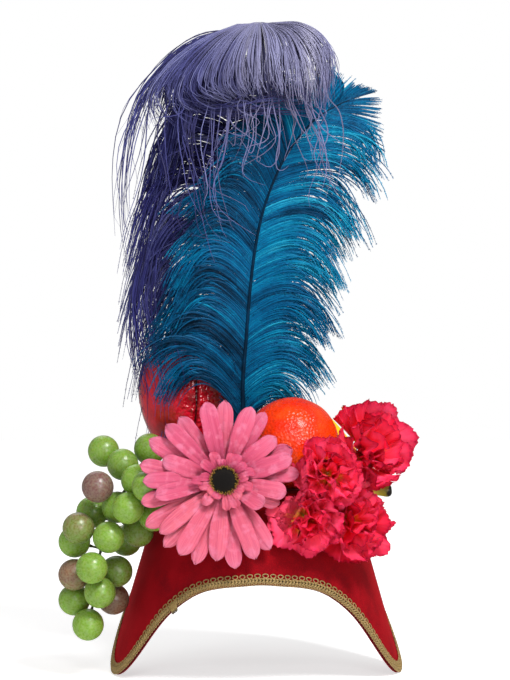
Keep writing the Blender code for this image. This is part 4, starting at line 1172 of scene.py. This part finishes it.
# Name, side of the quill, barbs, seed and the column of their lengths.
VIOLET_SIDES = (("left", -1, 780, 61, 0), ("right", 1, 580, 62, 1))
make_quill("violet_quill", VIOLET_RUN, 0.0017, violet_dye_and_shade, "plume_violet", "violet_plume")
for name, side, count, seed, column in VIOLET_SIDES:
    dice = np.random.default_rng(seed)
    rows = [(*place, barbs[column], barbs[2], VIOLET_RISE)
            for place, barbs in zip(VIOLET_RUN, VIOLET_BARBS)]
    at = np.linspace(0.055, 0.3000, count) + dice.normal(0, 0.0006, count)
    paths, lock = barb_paths(dice, rows, at, side, violet_shape)
    shade = 0.52 + dice.normal(0, 0.15, count) + dice.normal(0, 0.12, lock.max() + 1)[lock]
    barbs = [barb_mesh(dice, paths, shade, violet_shape)]
    make_down(f"violet_barbs_{name}", barbs, violet_dye_and_shade, "plume_violet", "violet_plume")

# Lines that the long strands of the violet plume's top follow: its mop, those that lie across under it,
# the loose ones at the far left, those below them, and those that hang over the teal plume.
MOP_GUIDES = (
    ((-0.0131, -0.0100, 0.3920), (-0.0376, -0.0180, 0.3815), (-0.0642, -0.0220, 0.3619),
     (-0.0796, -0.0220, 0.3409), (-0.0761, -0.0220, 0.3164)),
    ((-0.0103, -0.0120, 0.3920), (-0.0334, -0.0240, 0.3801), (-0.0558, -0.0300, 0.3591),
     (-0.0635, -0.0300, 0.3367), (-0.0467, -0.0300, 0.3227)),
    ((-0.0075, -0.0160, 0.3920), (-0.0285, -0.0320, 0.3801), (-0.0467, -0.0380, 0.3591),
     (-0.0502, -0.0380, 0.3409), (-0.0243, -0.0380, 0.3325)),
    ((-0.0047, -0.0200, 0.3920), (-0.0194, -0.0400, 0.3801), (-0.0306, -0.0470, 0.3605),
     (-0.0306, -0.0470, 0.3451), (-0.0103, -0.0450, 0.3367)),
    ((-0.0019, -0.0240, 0.3927), (-0.0110, -0.0450, 0.3801), (-0.0166, -0.0530, 0.3640),
     (-0.0166, -0.0530, 0.3493), (-0.0075, -0.0500, 0.3402)),
    ((0.0009, -0.0260, 0.3927), (-0.0026, -0.0480, 0.3801), (-0.0047, -0.0570, 0.3661),
     (-0.0047, -0.0580, 0.3535), (0.0002, -0.0550, 0.3430)),
    ((0.0037, -0.0280, 0.3927), (0.0072, -0.0500, 0.3815), (0.0086, -0.0590, 0.3675),
     (0.0093, -0.0600, 0.3535), (0.0114, -0.0580, 0.3409)),
    ((0.0065, -0.0280, 0.3922), (0.0170, -0.0500, 0.3825), (0.0216, -0.0590, 0.3690),
     (0.0240, -0.0610, 0.3549), (0.0258, -0.0590, 0.3374)),
    ((0.0079, -0.0280, 0.3922), (0.0226, -0.0480, 0.3855), (0.0315, -0.0570, 0.3715),
     (0.0362, -0.0600, 0.3549), (0.0390, -0.0580, 0.3325)),
    ((0.0093, -0.0260, 0.3924), (0.0270, -0.0420, 0.3886), (0.0392, -0.0520, 0.3768),
     (0.0446, -0.0560, 0.3591), (0.0436, -0.0540, 0.3325)),
    ((0.0107, -0.0250, 0.3926), (0.0305, -0.0340, 0.3916), (0.0444, -0.0420, 0.3820),
     (0.0504, -0.0480, 0.3661), (0.0478, -0.0500, 0.3367)),
)
CROSS_GUIDES = (
    ((-0.0425, -0.0080, 0.3745), (-0.0222, -0.0180, 0.3689), (0.0023, -0.0240, 0.3675),
     (0.0420, -0.0200, 0.3661)),
    ((-0.0453, -0.0080, 0.3633), (-0.0222, -0.0200, 0.3577), (0.0023, -0.0260, 0.3556),
     (0.0460, -0.0240, 0.3563)),
    ((-0.0495, -0.0100, 0.3521), (-0.0222, -0.0240, 0.3465), (0.0037, -0.0320, 0.3451),
     (0.0480, -0.0300, 0.3465)),
    ((-0.0551, -0.0140, 0.3409), (-0.0243, -0.0340, 0.3346), (0.0037, -0.0440, 0.3353),
     (0.0480, -0.0400, 0.3381)),
    ((-0.0607, -0.0160, 0.3325), (-0.0257, -0.0380, 0.3283), (0.0037, -0.0500, 0.3311),
     (0.0470, -0.0460, 0.3311)),
)
STRAY_GUIDES = (
    ((-0.0050, -0.0060, 0.3880), (-0.0380, -0.0100, 0.3850), (-0.0677, -0.0140, 0.3655),
     (-0.0900, -0.0160, 0.3360), (-0.0985, -0.0140, 0.2975), (-0.0985, -0.0120, 0.2590),
     (-0.0925, -0.0100, 0.2233)),
    ((-0.0060, -0.0060, 0.3860), (-0.0400, -0.0120, 0.3800), (-0.0677, -0.0170, 0.3570),
     (-0.0840, -0.0200, 0.3290), (-0.0925, -0.0200, 0.2940), (-0.0945, -0.0180, 0.2590),
     (-0.0880, -0.0140, 0.2261)),
    ((-0.0070, -0.0060, 0.3830), (-0.0420, -0.0140, 0.3740), (-0.0677, -0.0200, 0.3493),
     (-0.0790, -0.0240, 0.3185), (-0.0860, -0.0240, 0.2870), (-0.0870, -0.0220, 0.2555),
     (-0.0810, -0.0200, 0.2261)),
)
LOW_GUIDES = (
    ((-0.0800, -0.0060, 0.2400), (-0.0890, -0.0180, 0.2050), (-0.0880, -0.0260, 0.1700),
     (-0.0820, -0.0280, 0.1400), (-0.0760, -0.0280, 0.1120)),
    ((-0.0740, -0.0080, 0.2360), (-0.0800, -0.0200, 0.2000), (-0.0760, -0.0280, 0.1680),
     (-0.0700, -0.0300, 0.1420), (-0.0690, -0.0300, 0.1180)),
    ((-0.0620, -0.0120, 0.2300), (-0.0640, -0.0240, 0.1950), (-0.0560, -0.0340, 0.1650),
     (-0.0510, -0.0360, 0.1400), (-0.0520, -0.0340, 0.1040)),
)
HANGING_GUIDES = (
    ((-0.0520, -0.0160, 0.3520), (-0.0610, -0.0280, 0.3330), (-0.0640, -0.0360, 0.3080),
     (-0.0560, -0.0410, 0.2780), (-0.0495, -0.0430, 0.2520), (-0.0397, -0.0430, 0.2300)),
    ((-0.0380, -0.0220, 0.3520), (-0.0440, -0.0350, 0.3300), (-0.0460, -0.0440, 0.3060),
     (-0.0397, -0.0470, 0.2780), (-0.0299, -0.0480, 0.2590), (-0.0173, -0.0470, 0.2480)),
    ((-0.0180, -0.0280, 0.3520), (-0.0210, -0.0420, 0.3320), (-0.0243, -0.0490, 0.3080),
     (-0.0285, -0.0500, 0.2835), (-0.0229, -0.0500, 0.2639), (-0.0075, -0.0490, 0.2561)),
    ((0.0030, -0.0360, 0.3520), (0.0037, -0.0500, 0.3340), (0.0050, -0.0540, 0.3150),
     (0.0009, -0.0530, 0.3030), (-0.0089, -0.0520, 0.2990), (-0.0173, -0.0510, 0.3045)),
    ((0.0270, -0.0400, 0.3520), (0.0310, -0.0520, 0.3330), (0.0387, -0.0560, 0.3180),
     (0.0415, -0.0550, 0.3000), (0.0401, -0.0540, 0.2765), (0.0345, -0.0530, 0.2590)),
    ((0.0450, -0.0400, 0.3520), (0.0490, -0.0500, 0.3380), (0.0555, -0.0530, 0.3240),
     (0.0597, -0.0520, 0.3060), (0.0569, -0.0500, 0.2870), (0.0513, -0.0490, 0.2695)),
)
# Guides, strands, how far they stray and curl, the least share of a guide that one runs along, their
# shade and its spread, how faded they are, and how far the whole set is moved.
MOP_SETS = (
    (MOP_GUIDES, 400, 0.0020, 0.0015, 0.66, 0.56, 0.16, 0.50, (0.0, 0.0, 0.0)),
    # The next two sets lie behind the mop's front strands and are set darker, as painted shade, and the
    # strands that lie across under the mop are set dark as painted shade too.
    (MOP_GUIDES, 240, 0.0020, 0.0016, 0.80, 0.34, 0.12, 0.22, (0.0, 0.0050, -0.0012)),
    (MOP_GUIDES, 240, 0.0020, 0.0016, 0.85, 0.22, 0.09, 0.08, (0.0, 0.0110, -0.0030)),
    (CROSS_GUIDES, 220, 0.0026, 0.0034, 0.55, 0.28, 0.14, 0.08, (0.0, 0.0, 0.0)),
    (STRAY_GUIDES, 30, 0.0030, 0.0050, 0.50, 0.46, 0.12, 0.30, (0.0, 0.0, 0.0)),
    (HANGING_GUIDES, 62, 0.0050, 0.0100, 0.40, 0.46, 0.12, 0.36, (0.0, 0.0, 0.0)),
    (LOW_GUIDES, 42, 0.0036, 0.0022, 0.50, 0.36, 0.12, 0.05, (0.0, 0.0, 0.0)),
)
dice = np.random.default_rng(71)
strands = []
faded = []
for guides, count, stray, curl, least, tone, spread, pale, moved in MOP_SETS:
    paths, lock = combed(dice, guides, count, stray, curl, least)
    shade = tone + dice.normal(0, spread, count) + dice.normal(0, spread, lock.max() + 1)[lock]
    strands.append(barb_mesh(dice, paths + np.array(moved), shade, strand_shape))
    to_right = strands[-1][0][:, 0]
    pale_lock = 0.45 * np.exp(-((to_right - 0.035) / 0.006) ** 2) * (pale > 0.4)
    faded.append(pale * np.clip((to_right + 0.050) / 0.045, 0.15, 1.0) + pale_lock)
make_down("violet_mop", strands, violet_dye_and_shade, "plume_violet", "violet_plume", np.concatenate(faded))


# Lights, floor and camera. A round pale floor in a white surround, a soft key lamp from the upper right,
# weaker ones from the left, the front and behind, and a wide one low in front, at the right, that shows
# only as glints.
TARGET = Vector((-0.0012, -0.0200, 0.1715))
TURNED = math.radians(-2.5)
RAISED = math.radians(4.0)
AWAY = 2.2
SEEN_HEIGHT = 0.476
FLOOR = cad_box[0][2] - 0.0005
FLOOR_RADIUS = 1.6
FLOOR_CORNERS = 64
FLOOR_GLOW = 0.60
ROOM_LIGHT = 0.28


def soft_light(name, toward, away, size, power, glints=True):
    """A round lamp in a direction from the hat and at a distance, with its width and its power in watts."""
    lamp = bpy.data.lights.new(name, "AREA")
    lamp.shape = "DISK"
    lamp.size = size
    lamp.energy = power
    made = bpy.data.objects.new(name, lamp)
    bpy.context.scene.collection.objects.link(made)
    direction = Vector(toward).normalized()
    made.visible_glossy = glints
    made.location = TARGET + direction * away
    made.rotation_euler = direction.to_track_quat("Z", "Y").to_euler()
    return made


soft_light("key", (0.33, -0.58, 0.75), 1.5, 0.46, 24.0)
soft_light("fill", (-0.75, -0.85, 0.45), 1.8, 1.0, 4.0, False)
soft_light("front", (-0.02, -0.80, 0.45), 2.2, 0.40, 6.5)
soft_light("window", (0.36, -0.92, 0.15), 2.2, 0.74, 16.0).visible_diffuse = False
soft_light("back", (-0.2, 1.0, 0.8), 1.8, 1.2, 5.0)
surround = bpy.data.worlds.new("studio")
surround.use_nodes = True
room = surround.node_tree
white_wall = room.nodes["Background"]
white_wall.inputs["Color"].default_value = (1.0, 1.0, 1.0, 1.0)
seen = room.nodes.new("ShaderNodeLightPath")
level = room.nodes.new("ShaderNodeMapRange")
level.inputs["To Min"].default_value = ROOM_LIGHT
level.inputs["To Max"].default_value = 1.0
room.links.new(seen.outputs["Is Camera Ray"], level.inputs["Value"])
room.links.new(level.outputs["Result"], white_wall.inputs["Strength"])
bpy.context.scene.world = surround
bpy.context.scene.view_settings.view_transform = "Standard"

floor_turn = np.arange(FLOOR_CORNERS) / FLOOR_CORNERS * 2 * math.pi
floor_points = [(FLOOR_RADIUS * math.cos(turn), FLOOR_RADIUS * math.sin(turn), FLOOR) for turn in floor_turn]
floor_mesh = bpy.data.meshes.new("floor")
floor_mesh.from_pydata(floor_points, [], [tuple(range(FLOOR_CORNERS))])
pale = Finish("pale_floor", 0.9)
pale.shader.inputs["Emission Color"].default_value = (1.0, 1.0, 1.0, 1.0)
pale.shader.inputs["Emission Strength"].default_value = FLOOR_GLOW
floor_mesh.materials.append(pale.done(light_of("e8e8e8")))
floor = bpy.data.objects.new("floor", floor_mesh)
bpy.context.scene.collection.objects.link(floor)
floor.visible_glossy = False

camera = bpy.data.objects.new("camera", bpy.data.cameras.new("camera"))
bpy.context.scene.collection.objects.link(camera)
back = Vector((math.sin(TURNED) * math.cos(RAISED), -math.cos(TURNED) * math.cos(RAISED), math.sin(RAISED)))
camera.location = TARGET + back * AWAY
camera.rotation_euler = back.to_track_quat("Z", "Y").to_euler()
camera.data.lens = camera.data.sensor_width * AWAY / SEEN_HEIGHT
camera.data.clip_end = 100.0
bpy.context.scene.camera = camera
